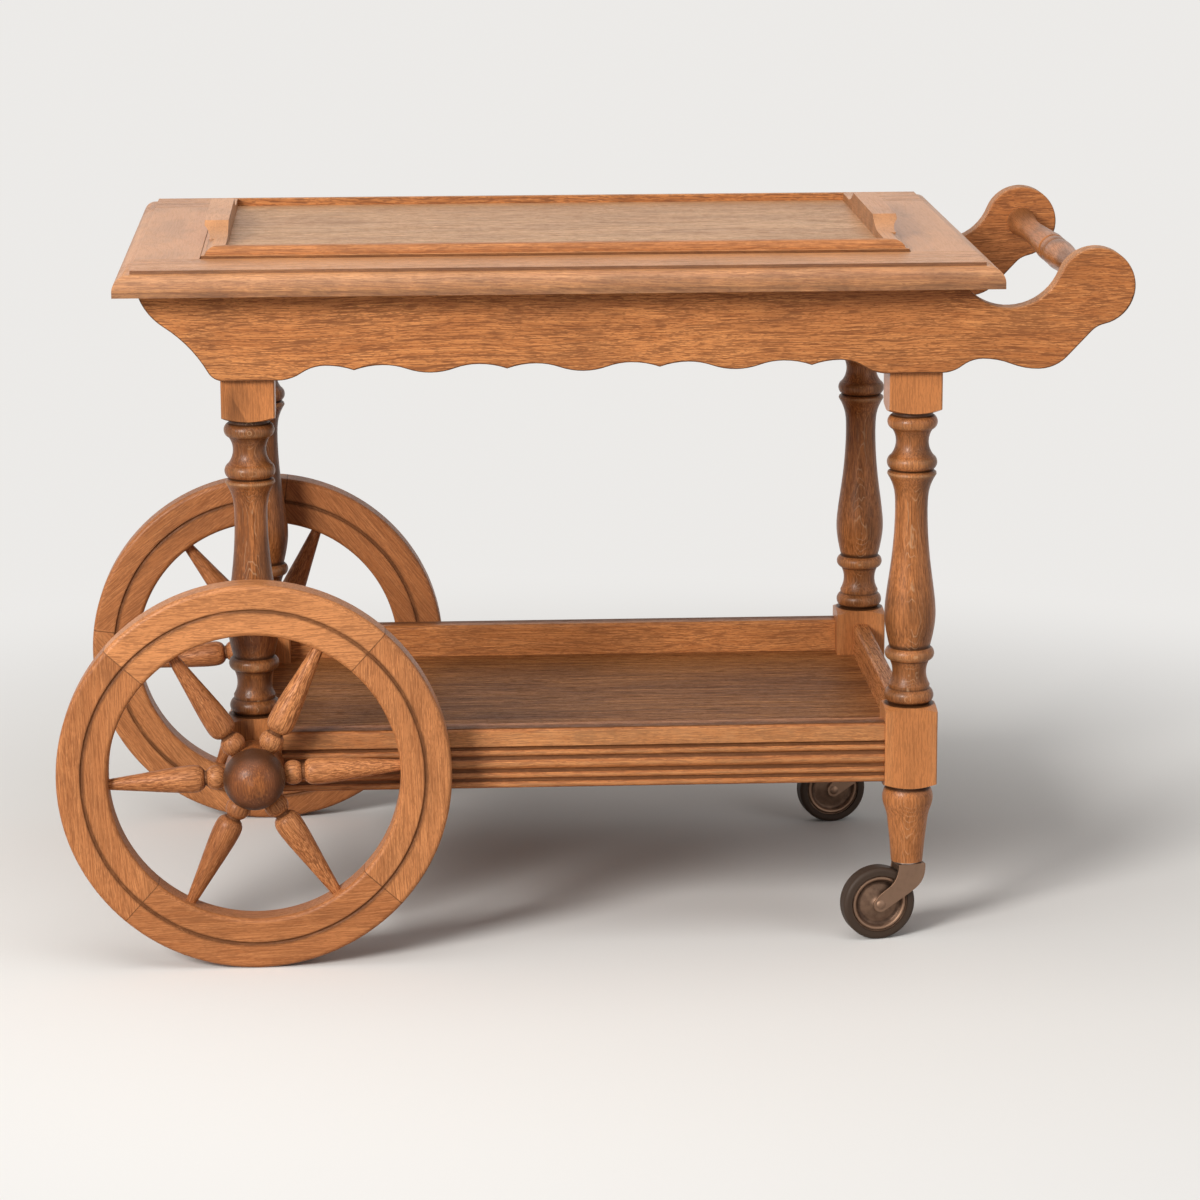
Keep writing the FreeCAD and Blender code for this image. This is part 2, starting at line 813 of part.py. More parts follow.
def spoke():
    """One spoke along X, with a tenon in the hub and one in the rim."""
    length = rim_inner_radius - hub_radius
    seat = hub_radius
    steps = [((spoke_root_radius, seat - spoke_root_tenon),), ((spoke_root_radius, seat),)]
    steps += scaled(spoke_turning_shares, spoke_tip_radius, length, seat)
    steps.append(((spoke_tip_radius, rim_inner_radius + spoke_tip_tenon),))
    shape = turned(seat - spoke_root_tenon, steps, rim_inner_radius + spoke_tip_tenon)
    return spun(shape, along_y, 90)


def spokes():
    return [spun(spoke(), along_z, angle) for angle in spoke_angles()]


def felloe(index):
    sweep = 360 / felloe_count
    start = (rim_inner_radius + rim_round, -rim_thickness / 2)
    section = Part.Face(path(start, rim_section_steps(), upright(0)))
    piece = spun(section.revolve(origin, along_z, sweep), along_z, felloe_joint_angle + index * sweep)
    for angle in spoke_angles():
        mortise = rod(spoke_tip_radius, spoke_tip_tenon + overrun,
                      FreeCAD.Vector(rim_inner_radius - overrun, 0, 0), along_x)
        piece = piece.cut(spun(mortise, along_z, angle))
    return piece


def hub():
    steps = [((hub_radius - hub_soft, hub_back),),
             (polar((hub_radius - hub_soft, hub_back + hub_soft), hub_soft, -45),
              (hub_radius, hub_back + hub_soft)),
             ((hub_radius, hub_front - hub_soft),),
             (polar((hub_radius - hub_soft, hub_front - hub_soft), hub_soft, 45),
              (hub_radius - hub_soft, hub_front))]
    shape = turned(hub_back, steps, hub_front)
    shape = shape.cut(rod(bush_radius, hub_front - hub_back + 2 * overrun,
                          FreeCAD.Vector(0, 0, hub_back - overrun), along_z))
    for angle in spoke_angles():
        socket = rod(spoke_root_radius, spoke_root_tenon + overrun,
                     FreeCAD.Vector(hub_radius - spoke_root_tenon, 0, 0), along_x)
        shape = shape.cut(spun(socket, along_z, angle))
    return shape


def bush():
    length = hub_front - hub_back
    base = FreeCAD.Vector(0, 0, hub_back)
    return rod(bush_radius, length, base, along_z).cut(rod(bush_bore, length, base, along_z))


def hub_cap():
    """The ball on the hub with its small point, hollow over the nut."""
    seat_radius = math.sqrt(ball_radius ** 2 - (ball_centre - hub_front) ** 2)
    crown = ball_centre + ball_radius
    nub_seat = ball_centre + math.sqrt(ball_radius ** 2 - nub_radius ** 2)
    steps = [((seat_radius, hub_front),),
             ((ball_radius, ball_centre), (nub_radius, nub_seat)),
             ((nub_tip_radius, crown + nub_height),)]
    ball = turned(hub_front, steps, crown + nub_height)
    return ball.cut(rod(nut_room, nut_room_depth + overrun,
                        FreeCAD.Vector(0, 0, hub_front - overrun), along_z))


# Axles, which stay with the legs

def nut_seat():
    return hub_front + nut_play


def axle():
    length = axle_depth + wheel_offset + nut_seat() + nut_height
    return rod(axle_radius, length, FreeCAD.Vector(0, 0, -wheel_offset - axle_depth), along_z)


def axle_washer():
    ring = rod(washer_radius, washer_thickness, FreeCAD.Vector(0, 0, -wheel_offset), along_z)
    return ring.cut(rod(axle_radius, washer_thickness,
                        FreeCAD.Vector(0, 0, -wheel_offset), along_z))


def axle_nut():
    half_turn = 180 / nut_sides
    corner_reach = nut_flats / math.cos(math.radians(half_turn)) / 2
    corners = [polar((0, 0), corner_reach, 2 * half_turn * index) for index in range(nut_sides)]
    shape = board(corners[0], [(corner,) for corner in corners[1:] + corners[:1]],
                  level(nut_seat()), along_z * nut_height)
    return shape.cut(rod(axle_radius, nut_height, FreeCAD.Vector(0, 0, nut_seat()), along_z))


# Casters, made with the swivel axis on Z and the wheel trailing to -X

fork_half_gap = tyre_width / 2 + wheel_gap
fork_half_width = fork_half_gap + fork_plate
fork_top = foot_base - foot_gap - flange_thickness
fork_height = fork_top - caster_radius


def swivelled(shape, at_front):
    """A caster piece in its place under a leg, yawed as it stands at rest."""
    side = -1 if at_front else 1
    return moved(spun(shape, along_z, caster_angle), caster_leg_x, side * leg_y, 0)


def fork():
    """Two side plates that bend back to the axle, and the plate that joins them."""
    centre = (-caster_trail, caster_radius)

    def plate_point(share):
        return (centre[0] + share[0] * caster_trail, centre[1] + share[1] * fork_height)

    front = [plate_point(share) for share in fork_front_shares]
    back = [plate_point(share) for share in fork_back_shares]
    steps = [(front[0],), tuple(front[1:]), (polar(centre, fork_boss, fork_low_angle),),
             (polar(centre, fork_boss, fork_end_angle),
              polar(centre, fork_boss, fork_high_angle)),
             tuple(back)]
    sides = board(back[-1], steps, upright(-fork_half_width), along_y * (2 * fork_half_width))
    gap = block(-caster_trail - caster_diameter, caster_trail + caster_diameter,
                -fork_half_gap, fork_half_gap, 0, fork_top - fork_plate)
    hole = rod(rivet_radius, 2 * fork_half_width + 2 * overrun,
               FreeCAD.Vector(centre[0], -fork_half_width - overrun, centre[1]), along_y)
    pin_hole = rod(stem_radius, fork_plate + 2 * overrun,
                   FreeCAD.Vector(0, 0, fork_top - fork_plate - overrun), along_z)
    return sides.cut(gap).cut(hole).cut(pin_hole)


def stem():
    pin = rod(stem_radius, stem_length + foot_gap + flange_thickness + fork_plate,
              FreeCAD.Vector(0, 0, fork_top - fork_plate), along_z)
    flange = rod(flange_radius, flange_thickness, FreeCAD.Vector(0, 0, fork_top), along_z)
    return pin.fuse(flange)


def rivet():
    """The axle of the caster wheel, with a domed head outside each side plate."""
    outside = fork_half_width
    crown = outside + rivet_head_height
    edge = (rivet_head_radius, outside)
    bulge = level_arc_middle((0, crown), edge)
    steps = [((bulge[0], -bulge[1]), (edge[0], -outside)),
             ((rivet_radius, -outside),), ((rivet_radius, outside),), (edge,),
             (bulge, (0, crown)), ((0, -crown),)]
    pin = Part.Face(path((0, -crown), steps, upright(0))).revolve(origin, along_z, 360)
    return moved(spun(pin, along_x, 90), -caster_trail, 0, caster_radius)


def caster_disc():
    bore = rivet_radius + running_gap
    half = disc_width / 2
    face = [(r * disc_radius, h * half) for r, h in disc_face_shares]
    lip = (disc_radius * disc_lip_share[0], half * disc_lip_share[1])
    tyre_seat = (disc_radius, face[-1][1])
    upper = [((boss_radius, half),), tuple(face), (lip, tyre_seat)]
    lower_face = [(r, -z) for r, z in reversed(face[:-1])] + [(boss_radius, -half)]
    lower_start = (tyre_seat[0], -tyre_seat[1])
    lower = [(lower_start,), ((lip[0], -lip[1]), (face[-1][0], -face[-1][1])),
             tuple(lower_face), ((bore, -half),), ((bore, half),)]
    wheel = Part.Face(path((bore, half), upper + lower, upright(0)))
    wheel = wheel.revolve(origin, along_z, 360)
    return moved(spun(wheel, along_x, 90), -caster_trail, 0, caster_radius)


def tyre():
    half = tyre_width / 2
    outer = caster_radius
    soft = tyre_round
    steps = [((outer - soft, half),),
             (polar((outer - soft, half - soft), soft, 45), (outer, half - soft)),
             ((outer, -half + soft),),
             (polar((outer - soft, -half + soft), soft, -45), (outer - soft, -half)),
             ((disc_radius, -half),), ((disc_radius, half),)]
    ring = Part.Face(path((disc_radius, half), steps, upright(0)))
    ring = ring.revolve(origin, along_z, 360)
    return moved(spun(ring, along_x, 90), -caster_trail, 0, caster_radius)


def caster_socket():
    base = FreeCAD.Vector(0, 0, foot_base)
    sleeve = rod(socket_radius, socket_length, base, along_z)
    return sleeve.cut(rod(socket_bore, socket_length, base, along_z))


# Frame

slab = moulded_slab()
strip = top_strip(slab).cut(Part.makeCompound([screw(x, -screw_y) for x in screw_places()]))
export("top_strip_front", strip)
export("top_strip_back", mirrored(strip))
export("top_end_wheel", top_end(slab, slab_x0 - overrun, opening_x0))
export("top_end_handle", top_end(slab, opening_x1, slab_x1 + overrun))

rail = side_rail().cut(handle_mortise())
export("side_rail_front", rail)
export("side_rail_back", mirrored(rail))
export("handle_rod", handle_rod())

for end, x, has_foot in (("wheel", wheel_leg_x, False), ("caster", caster_leg_x, True)):
    front_leg = leg(x, has_foot)
    export("leg_" + end + "_front", front_leg)
    export("leg_" + end + "_back", mirrored(front_leg))

export("cross_rail_wheel", cross_rail(wheel_leg_x))
export("cross_rail_handle", cross_rail(caster_leg_x))
bearer = tray_bearer()
export("tray_bearer_front", bearer)
export("tray_bearer_back", mirrored(bearer))
export("tray_ledge", tray_ledge())
export("glue_blocks", *glue_blocks())
export("batten_screws", *[screw(x, y) for x in screw_places() for y in (-screw_y, screw_y)])

panel = shelf_panel()
shelf_front = shelf_rail(panel)
export("shelf_panel", panel)
export("shelf_rail_front", shelf_front)
export("shelf_rail_back", mirrored(shelf_front))
export("shelf_end_wheel", shelf_end(panel, wheel_leg_x, -1))
export("shelf_end_handle", shelf_end(panel, caster_leg_x, 1))

# Tray
tray_front = tray_moulding()
export("tray_moulding_front", tray_front)
export("tray_moulding_back", mirrored(tray_front))
wheel_end = tray_end()
export("tray_end_wheel", wheel_end)
tray_middle = FreeCAD.Vector((tray_x0 + tray_x1) / 2, 0, 0)
export("tray_end_handle", wheel_end.mirror(tray_middle, along_x))
export("tray_floor", tray_floor())

# Wheels, axles and casters
for side, at_front, turn in (("front", True, front_wheel_angle), ("back", False, back_wheel_angle)):
    for index in range(felloe_count):
        piece = spun(felloe(index), along_z, turn)
        export("felloe_" + side + "_" + str(index + 1), stood(piece, at_front))
    export("spokes_" + side, *[stood(spun(one, along_z, turn), at_front) for one in spokes()])
    export("hub_" + side, stood(spun(hub(), along_z, turn), at_front))
    export("hub_cap_" + side, stood(hub_cap(), at_front))
    export("bush_" + side, stood(bush(), at_front))
    export("axle_" + side, stood(axle(), at_front))
    export("caster_socket_" + side, swivelled(caster_socket(), at_front))
    export("fork_" + side, swivelled(fork(), at_front))
    export("stem_" + side, swivelled(stem(), at_front))
    export("rivet_" + side, swivelled(rivet(), at_front))
    export("caster_disc_" + side, swivelled(caster_disc(), at_front))
    export("tyre_" + side, swivelled(tyre(), at_front))
export("axle_washers", *[stood(axle_washer(), at_front) for at_front in (True, False)])
export("axle_nuts", *[stood(axle_nut(), at_front) for at_front in (True, False)])
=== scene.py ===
# %% [markdown]
# # A serving trolley in oak
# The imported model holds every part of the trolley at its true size, in metres, with the
# push handle at +X and the front at -Y. This file dresses those parts: it eases the sharp
# edges, lays the grain of each board the way the board was cut, and sets up a small photo
# studio. Loading the model comes first, because every later step measures it.

import itertools
import json
import math

import bmesh
import bpy
import numpy as np
from mathutils import Matrix, Vector


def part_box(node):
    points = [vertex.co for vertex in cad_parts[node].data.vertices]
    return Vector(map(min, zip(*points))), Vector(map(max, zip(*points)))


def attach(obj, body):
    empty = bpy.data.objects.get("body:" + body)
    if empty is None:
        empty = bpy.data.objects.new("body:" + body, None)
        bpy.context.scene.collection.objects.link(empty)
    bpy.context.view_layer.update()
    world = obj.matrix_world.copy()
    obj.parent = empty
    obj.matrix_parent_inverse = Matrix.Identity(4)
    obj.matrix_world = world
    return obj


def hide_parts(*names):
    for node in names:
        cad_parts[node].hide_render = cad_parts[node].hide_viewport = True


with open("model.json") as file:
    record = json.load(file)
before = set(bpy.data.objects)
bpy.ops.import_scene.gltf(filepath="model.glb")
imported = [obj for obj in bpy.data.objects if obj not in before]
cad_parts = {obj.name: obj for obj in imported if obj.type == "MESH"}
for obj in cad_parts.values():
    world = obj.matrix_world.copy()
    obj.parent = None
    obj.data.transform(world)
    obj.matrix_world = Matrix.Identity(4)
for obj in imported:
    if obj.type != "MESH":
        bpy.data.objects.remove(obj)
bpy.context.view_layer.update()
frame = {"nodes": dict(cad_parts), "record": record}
parts = frame["nodes"]
millimetre = 0.001

# %% [markdown]
# ## The camera
# A camera can be placed by eye, or worked out from known corners of the object. It was
# worked out here: a long lens of 4145 pixels in a picture 1200 pixels wide, 3.7 m in front
# of the trolley, a little to the left and above, looking down. Blender wants that lens in
# millimetres on its 36 mm sensor, and a matrix whose columns are right, up and backwards.

# %% Set up the camera
picture_width = 1200
lens_in_pixels = 4145
camera_place = Vector((-0.1785, -3.730, 1.105))
camera_turn = math.radians(3.0)
camera_dip = math.radians(12.64)
camera_lean = -0.0030

forward = Vector((math.sin(camera_turn) * math.cos(camera_dip),
                  math.cos(camera_turn) * math.cos(camera_dip), -math.sin(camera_dip)))
level_right = forward.cross(Vector((0, 0, 1))).normalized()
right = level_right * math.cos(camera_lean) + level_right.cross(forward) * math.sin(camera_lean)
up = right.cross(forward)

camera = bpy.data.objects.new("camera", bpy.data.cameras.new("camera"))
bpy.context.collection.objects.link(camera)
camera.data.sensor_width = 36
camera.data.lens = lens_in_pixels / picture_width * camera.data.sensor_width
camera.matrix_world = (Matrix.Translation(camera_place)
                       @ Matrix((right, up, -forward)).transposed().to_4x4())
bpy.context.scene.camera = camera
bpy.context.scene.view_settings.view_transform = "Standard"
print("lens:", camera.data.lens, "mm")

# %% [markdown]
# ## Building materials from nodes
# Node trees soon grow long in code. A few small helpers keep them readable: one adds a node
# and wires or sets its inputs in the same line, and others stand for a sum, a smooth step
# or a drawn-out noise. A value given as a socket is wired, any other value is set.

# %% Helpers for nodes
def put(tree, kind, inputs=None, **settings):
    """Adds one node to the tree. Inputs are plain values, or sockets that feed them."""
    node = tree.nodes.new("ShaderNode" + kind)
    for key, value in settings.items():
        setattr(node, key, value)
    for key, value in (inputs or {}).items():
        if isinstance(value, bpy.types.NodeSocket):
            tree.links.new(value, node.inputs[key])
        else:
            node.inputs[key].default_value = value
    return node


def calc(tree, operation, *values, clamp=False):
    node = put(tree, "Math", dict(enumerate(values)), operation=operation, use_clamp=clamp)
    return node.outputs[0]


def ramp(tree, value, low, high, start=0.0, end=1.0):
    """A smooth step from start to end while value goes from low to high."""
    node = put(tree, "MapRange", {"Value": value, "From Min": low, "From Max": high,
                                  "To Min": start, "To Max": end},
               interpolation_type="SMOOTHSTEP")
    return node.outputs["Result"]


def mix_colour(tree, share, first, second):
    node = put(tree, "Mix", {0: share, 6: first, 7: second},
               data_type="RGBA", clamp_factor=True)
    return node.outputs[2]


def in_millimetres(tree, place):
    return put(tree, "VectorMath", {0: place, "Scale": 1000.0}, operation="SCALE").outputs[0]


def stretched_noise(tree, place, stretch, detail=2.0, roughness=0.5):
    """Noise whose pattern is drawn out: stretch is how often it changes each millimetre."""
    scaled = put(tree, "VectorMath", {0: place, 1: stretch}, operation="MULTIPLY").outputs[0]
    noise = put(tree, "TexNoise", {"Vector": scaled, "Scale": 1.0, "Detail": detail,
                                   "Roughness": roughness})
    return noise.outputs["Fac"]


def new_group(name, inputs, outputs):
    """A node group. Inputs and outputs are {name: (socket kind, value)}."""
    group = bpy.data.node_groups.new(name, "ShaderNodeTree")
    for side, sockets in (("INPUT", inputs), ("OUTPUT", outputs)):
        for label, (kind, value) in sockets.items():
            made = group.interface.new_socket(label, in_out=side, socket_type="NodeSocket" + kind)
            if value is not None:
                made.default_value = value
    start = group.nodes.new("NodeGroupInput")
    end = group.nodes.new("NodeGroupOutput")
    print("group:", name, "in:", list(inputs), "out:", list(outputs))
    return group, start.outputs, end.inputs


helpers = (put, calc, ramp, mix_colour, in_millimetres, stretched_noise, new_group)
print("helpers:", [helper.__name__ for helper in helpers])

# %% [markdown]
# ## Growth rings and pores
# A photograph of oak could be wrapped round each part, but then the ends of the boards
# would show the wrong figure. Wood is solid, so its pattern is too. The group below takes a
# place inside the tree, with x along the trunk, y round it and z out from the heart. It
# bends the fibres a little, counts growth rings, and crowds long dark pores into the spring
# half of each ring. Cut any way, it shows the right figure, also on end grain. The noises
# change slowly along the trunk and quickly across it, which draws them out into fibres.

# %% Oak grain group: rings and pores
oak_grain, grain_in, grain_out = new_group(
    "oak grain",
    {"Place": ("Vector", None), "Ring Gap": ("Float", 3.4), "Pore Cover": ("Float", 0.5),
     "Bands": ("Float", 0.4)},
    {"Tone": ("Float", None), "Pores": ("Float", None), "Rays": ("Float", None),
     "Height": ("Float", None)})

tree = oak_grain
in_mm = in_millimetres(tree, grain_in["Place"])
sway, ring_wobble = 8.0, 2.6
wander = put(tree, "TexNoise", {
    "Vector": put(tree, "VectorMath", {0: in_mm, 1: (0.005, 0.018, 0.018)},
                  operation="MULTIPLY").outputs[0],
    "Scale": 1.0, "Detail": 1.5, "Roughness": 0.4}).outputs["Color"]
bend = put(tree, "VectorMath", {0: wander, 1: (0.0, 2 * sway, 2 * sway),
                                2: (0.0, -sway, -sway)}, operation="MULTIPLY_ADD").outputs[0]
fibre_place = put(tree, "VectorMath", {0: in_mm, 1: bend}, operation="ADD").outputs[0]

across = put(tree, "VectorMath", {0: fibre_place, 1: (0.0, 1.0, 1.0)}, operation="MULTIPLY")
from_heart = put(tree, "VectorMath", {0: across.outputs[0]}, operation="LENGTH")
uneven = stretched_noise(tree, in_mm, (0.001, 0.05, 0.05), 1.0)
rings = calc(tree, "ADD", calc(tree, "DIVIDE", from_heart.outputs["Value"],
                               grain_in["Ring Gap"]),
             calc(tree, "MULTIPLY", uneven, ring_wobble))
in_ring = calc(tree, "FRACT", rings)
spring = calc(tree, "MULTIPLY", ramp(tree, in_ring, 0.10, 0.70, 1.0, 0.0),
              ramp(tree, in_ring, 0.0, 0.08))

few_pores, more_in_spring, more_by_cover = 0.605, 0.085, 0.06
pore_rim = (-0.02, 0.08)
limit = calc(tree, "SUBTRACT", few_pores, calc(tree, "MULTIPLY", spring, more_in_spring))
limit = calc(tree, "SUBTRACT", limit, calc(tree, "MULTIPLY", grain_in["Pore Cover"],
                                           more_by_cover))
long_pores = stretched_noise(tree, fibre_place, (0.055, 0.95, 0.95), 1.0, 0.5)
short_pores = stretched_noise(tree, fibre_place, (0.20, 1.4, 1.4), 1.0, 0.5)
deep = ramp(tree, calc(tree, "SUBTRACT", long_pores, limit), *pore_rim)
fine = ramp(tree, calc(tree, "SUBTRACT", short_pores, limit), *pore_rim, 0.0, 0.8)
pores = calc(tree, "MAXIMUM", deep, fine, clamp=True)
print("nodes for rings and pores:", len(tree.nodes))

# %% [markdown]
# ## Tone and rays
# Between the pores the wood changes tone in fine fibres, in bands as wide as a few growth
# rings, and in slow clouds. The tone that comes out swings round zero. Oak also has rays,
# thin pale sheets that run out from the heart. They show only where the surface lies along
# them, as short wavy lines. A sheet is a level of y, so each level line of a wavering y is
# drawn, and a second noise keeps only pieces of it.

# %% Oak grain group: tone, rays and height
fibre_share, cloud_share, spring_share, mean_tone = 1.7, 0.60, 0.08, 1.19
fibres = stretched_noise(tree, fibre_place, (0.006, 0.85, 0.85), 3.0, 0.70)
clouds = stretched_noise(tree, in_mm, (0.004, 0.022, 0.022), 2.0, 0.5)
tone = calc(tree, "ADD", calc(tree, "MULTIPLY", fibres, fibre_share),
            calc(tree, "MULTIPLY", clouds, cloud_share))
bands = stretched_noise(tree, fibre_place, (0.004, 0.20, 0.20), 2.0, 0.6)
streaks = calc(tree, "MULTIPLY", calc(tree, "SUBTRACT", bands, 0.5), grain_in["Bands"])
tone = calc(tree, "ADD", tone, calc(tree, "MULTIPLY", spring, spring_share))
tone = calc(tree, "ADD", tone, streaks)

sheets_per_millimetre, sheet_waver = 0.85, 4.0
level = put(tree, "SeparateXYZ", {0: in_mm}).outputs["Y"]
waver = stretched_noise(tree, in_mm, (0.035, 0.09, 0.10), 1.5, 0.5)
sheets = calc(tree, "FRACT",
              calc(tree, "ADD", calc(tree, "MULTIPLY", level, sheets_per_millimetre),
                   calc(tree, "MULTIPLY", waver, sheet_waver)))
line = ramp(tree, calc(tree, "ABSOLUTE", calc(tree, "SUBTRACT", sheets, 0.5)),
            0.02, 0.13, 1.0, 0.0)
pieces = ramp(tree, stretched_noise(tree, in_mm, (0.03, 0.02, 0.09), 1.0), 0.44, 0.56)

tree.links.new(calc(tree, "SUBTRACT", tone, mean_tone), grain_out["Tone"])
tree.links.new(pores, grain_out["Pores"])
tree.links.new(calc(tree, "MULTIPLY", line, pieces), grain_out["Rays"])
relief = calc(tree, "ADD", calc(tree, "MULTIPLY", pores, -1.0),
              calc(tree, "MULTIPLY", fibres, 0.35))
tree.links.new(relief, grain_out["Height"])
print("nodes of the whole group:", len(tree.nodes))

# %% [markdown]
# ## Stain, wear and painted shade
# Stain gathers in hollows and is rubbed off ridges. That could be painted on by hand, or
# read from the shape. Each dressed part carries a number called relief, below zero in a
# hollow and above zero on a ridge, and this group turns it into a darker or paler colour,
# broken up by noise so that it never looks drawn with a ruler. Relief also carries painted
# light: painted shade in steps, grooves, creases and on faces turned away from the light,
# and a painted highlight on upper rounds. So the darker colour is stain and painted shade,
# and the paler one is wear and a painted highlight. The group also lays large uneven patches
# of stain over the wood, as an old hand-rubbed finish has.

# %% Stain and wear group
stain_wear_and_shade, wear_in, wear_out = new_group(
    "stain and wear",
    {"Color": ("Color", None), "Relief": ("Float", 0.0), "Place": ("Vector", None),
     "Hollow Dark": ("Float", 0.6), "Ridge Pale": ("Float", 0.3), "Patches": ("Float", 0.2)},
    {"Color": ("Color", None), "Hollow": ("Float", None)})

tree = stain_wear_and_shade
wear_mm = in_millimetres(tree, wear_in["Place"])
ragged = calc(tree, "SUBTRACT", stretched_noise(tree, wear_mm, (0.06, 0.11, 0.11), 3.0, 0.6), 0.5)
uneven = calc(tree, "ADD", 1.0, calc(tree, "MULTIPLY", ragged, 1.1))
relief = calc(tree, "MULTIPLY", wear_in["Relief"], uneven)
sunk = ramp(tree, calc(tree, "MULTIPLY", relief, -1.0), 0.04, 0.75)
risen = ramp(tree, relief, 0.15, 1.0)
spread = stretched_noise(tree, wear_mm, (0.012, 0.03, 0.03), 2.0, 0.55)
blotch = calc(tree, "MULTIPLY", ramp(tree, spread, 0.42, 0.66), wear_in["Patches"])
# The darker colour is stain and painted shade, the paler one rubbed wood and a painted highlight.
stain_and_shade, rubbed_wood_and_highlight = (0.060, 0.021, 0.007, 1.0), (0.72, 0.43, 0.21, 1.0)
stained = mix_colour(tree, blotch, wear_in["Color"], stain_and_shade)
shaded = mix_colour(tree, calc(tree, "MULTIPLY", sunk, wear_in["Hollow Dark"]), stained, stain_and_shade)
paled = mix_colour(tree, calc(tree, "MULTIPLY", risen, wear_in["Ridge Pale"]),
                   shaded, rubbed_wood_and_highlight)
tree.links.new(paled, wear_out["Color"])
tree.links.new(sunk, wear_out["Hollow"])
print("stain:", stain_and_shade, "rubbed wood:", rubbed_wood_and_highlight)

# %% [markdown]
# ## The oak finishes
# The same two groups make every oak finish: the rails are a warm orange brown, the turned
# legs darker, the shelf a dull dark brown. Only the colours, the pores and the polish
# differ, so one function makes them all. It reads attributes that the parts carry. Grain is
# the place in the tree, relief tells hollows from ridges, and tone sets one board off from
# the next. Quarter tells where a surface lies along the rays, and calm evens the grain out.
# From axle is carried by the wheel rims alone: a groove runs round each rim, and painted
# shade lies along it, while dirt darkens the joints between the pieces.

# %% Shade of the wheel rims
groove_radius, groove_reach, joint_reach = 148.7, 4.5, 1.3
spoke_zone = (50, 100)


def rim_shade(tree, from_axle):
    """Painted shade along the groove of a rim, and dirt at its joints. In from_axle, x points out
    of the felloe and y along its chord.
    """
    in_mm = in_millimetres(tree, from_axle)
    reach = put(tree, "VectorMath", {0: in_mm}, operation="LENGTH").outputs["Value"]
    off_groove = calc(tree, "ABSOLUTE", calc(tree, "SUBTRACT", reach, groove_radius))
    # Painted shade: a band along the groove is darkened.
    groove = ramp(tree, off_groove, 0.0, groove_reach, 0.7, 0.0)
    flat = put(tree, "SeparateXYZ", {0: in_mm}).outputs
    off_joint = calc(tree, "SUBTRACT", calc(tree, "ABSOLUTE", flat["X"]),
                     calc(tree, "ABSOLUTE", flat["Y"]))
    joint = ramp(tree, calc(tree, "ABSOLUTE", off_joint), 0.0, joint_reach, 0.8, 0.0)
    past_spokes = ramp(tree, reach, *spoke_zone)
    return calc(tree, "ADD", groove, calc(tree, "MULTIPLY", joint, past_spokes))


print("groove of the rim:", groove_radius, "mm from the axle")

# %% [markdown]
# ## One function for every oak finish
# The level of a point is the tone of its grain and the tone of its board together, and runs
# from the deep wood colour to the pale one. Patches of stain fade on pale pieces, because
# the squares that the turner left took little of it. Pores and hollows are rougher than the
# polished wood between them.

# %% Oak finishes
level_reach, ray_share, ink_rough, hollow_rough = 0.35, 0.30, 0.30, 0.10
pale_tones, patches_left = (0.10, 0.30), 0.15
ray_colour = (0.70, 0.46, 0.27, 1.0)
pore_depth = 0.25 * millimetre


def oak(name, pale, deep, pore, polish=0.40, cover=0.5, pore_ink=0.55, gap=3.4,
        hollow_dark=0.7, ridge_pale=0.3, patches=0.15, bump=0.3, shine=0.3, bands=0.4):
    material = bpy.data.materials.new(name)
    material.use_nodes = True
    tree = material.node_tree
    shader = tree.nodes["Principled BSDF"]
    place = put(tree, "Attribute", attribute_name="grain").outputs["Vector"]
    relief = put(tree, "Attribute", attribute_name="relief").outputs["Fac"]
    board_tone = put(tree, "Attribute", attribute_name="tone").outputs["Fac"]
    quarter = put(tree, "Attribute", attribute_name="quarter").outputs["Fac"]
    calm = put(tree, "Attribute", attribute_name="calm").outputs["Fac"]
    from_axle = put(tree, "Attribute", attribute_name="from axle").outputs["Vector"]
    grain = put(tree, "Group", node_tree=oak_grain)
    tree.links.new(place, grain.inputs["Place"])
    grain.inputs["Ring Gap"].default_value = gap
    grain.inputs["Pore Cover"].default_value = cover
    grain.inputs["Bands"].default_value = bands
    lively = calc(tree, "SUBTRACT", 1.0, calm)
    level = calc(tree, "ADD", calc(tree, "MULTIPLY", grain.outputs["Tone"], lively), board_tone)
    colour = mix_colour(tree, ramp(tree, level, -level_reach, level_reach),
                        deep + (1.0,), pale + (1.0,))
    ink = calc(tree, "MULTIPLY", calc(tree, "MULTIPLY", grain.outputs["Pores"], lively), pore_ink)
    colour = mix_colour(tree, ink, colour, pore + (1.0,))
    shaded_relief = calc(tree, "SUBTRACT", relief, rim_shade(tree, from_axle))
    wear = put(tree, "Group", {"Color": colour, "Place": place, "Relief": shaded_relief},
               node_tree=stain_wear_and_shade)
    wear.inputs["Hollow Dark"].default_value = hollow_dark
    wear.inputs["Ridge Pale"].default_value = ridge_pale
    tree.links.new(ramp(tree, board_tone, *pale_tones, patches, patches_left * patches),
                   wear.inputs["Patches"])
    rays = calc(tree, "MULTIPLY", calc(tree, "MULTIPLY", grain.outputs["Rays"], quarter),
                ray_share)
    tree.links.new(mix_colour(tree, rays, wear.outputs["Color"], ray_colour),
                   shader.inputs["Base Color"])
    rough = calc(tree, "ADD", polish, calc(tree, "MULTIPLY", ink, ink_rough))
    rough = calc(tree, "ADD", rough,
                 calc(tree, "MULTIPLY", wear.outputs["Hollow"], hollow_rough))
    tree.links.new(rough, shader.inputs["Roughness"])
    shader.inputs["IOR"].default_value = 1.5
    shader.inputs["Specular IOR Level"].default_value = shine
    bumps = put(tree, "Bump", {"Height": calc(tree, "MULTIPLY", grain.outputs["Height"], lively),
                               "Strength": bump, "Distance": pore_depth})
    tree.links.new(bumps.outputs["Normal"], shader.inputs["Normal"])
    print("finish:", name, "polish", polish)
    return material


print("rays mixed in by", ray_share, "pore depth", pore_depth, "m")
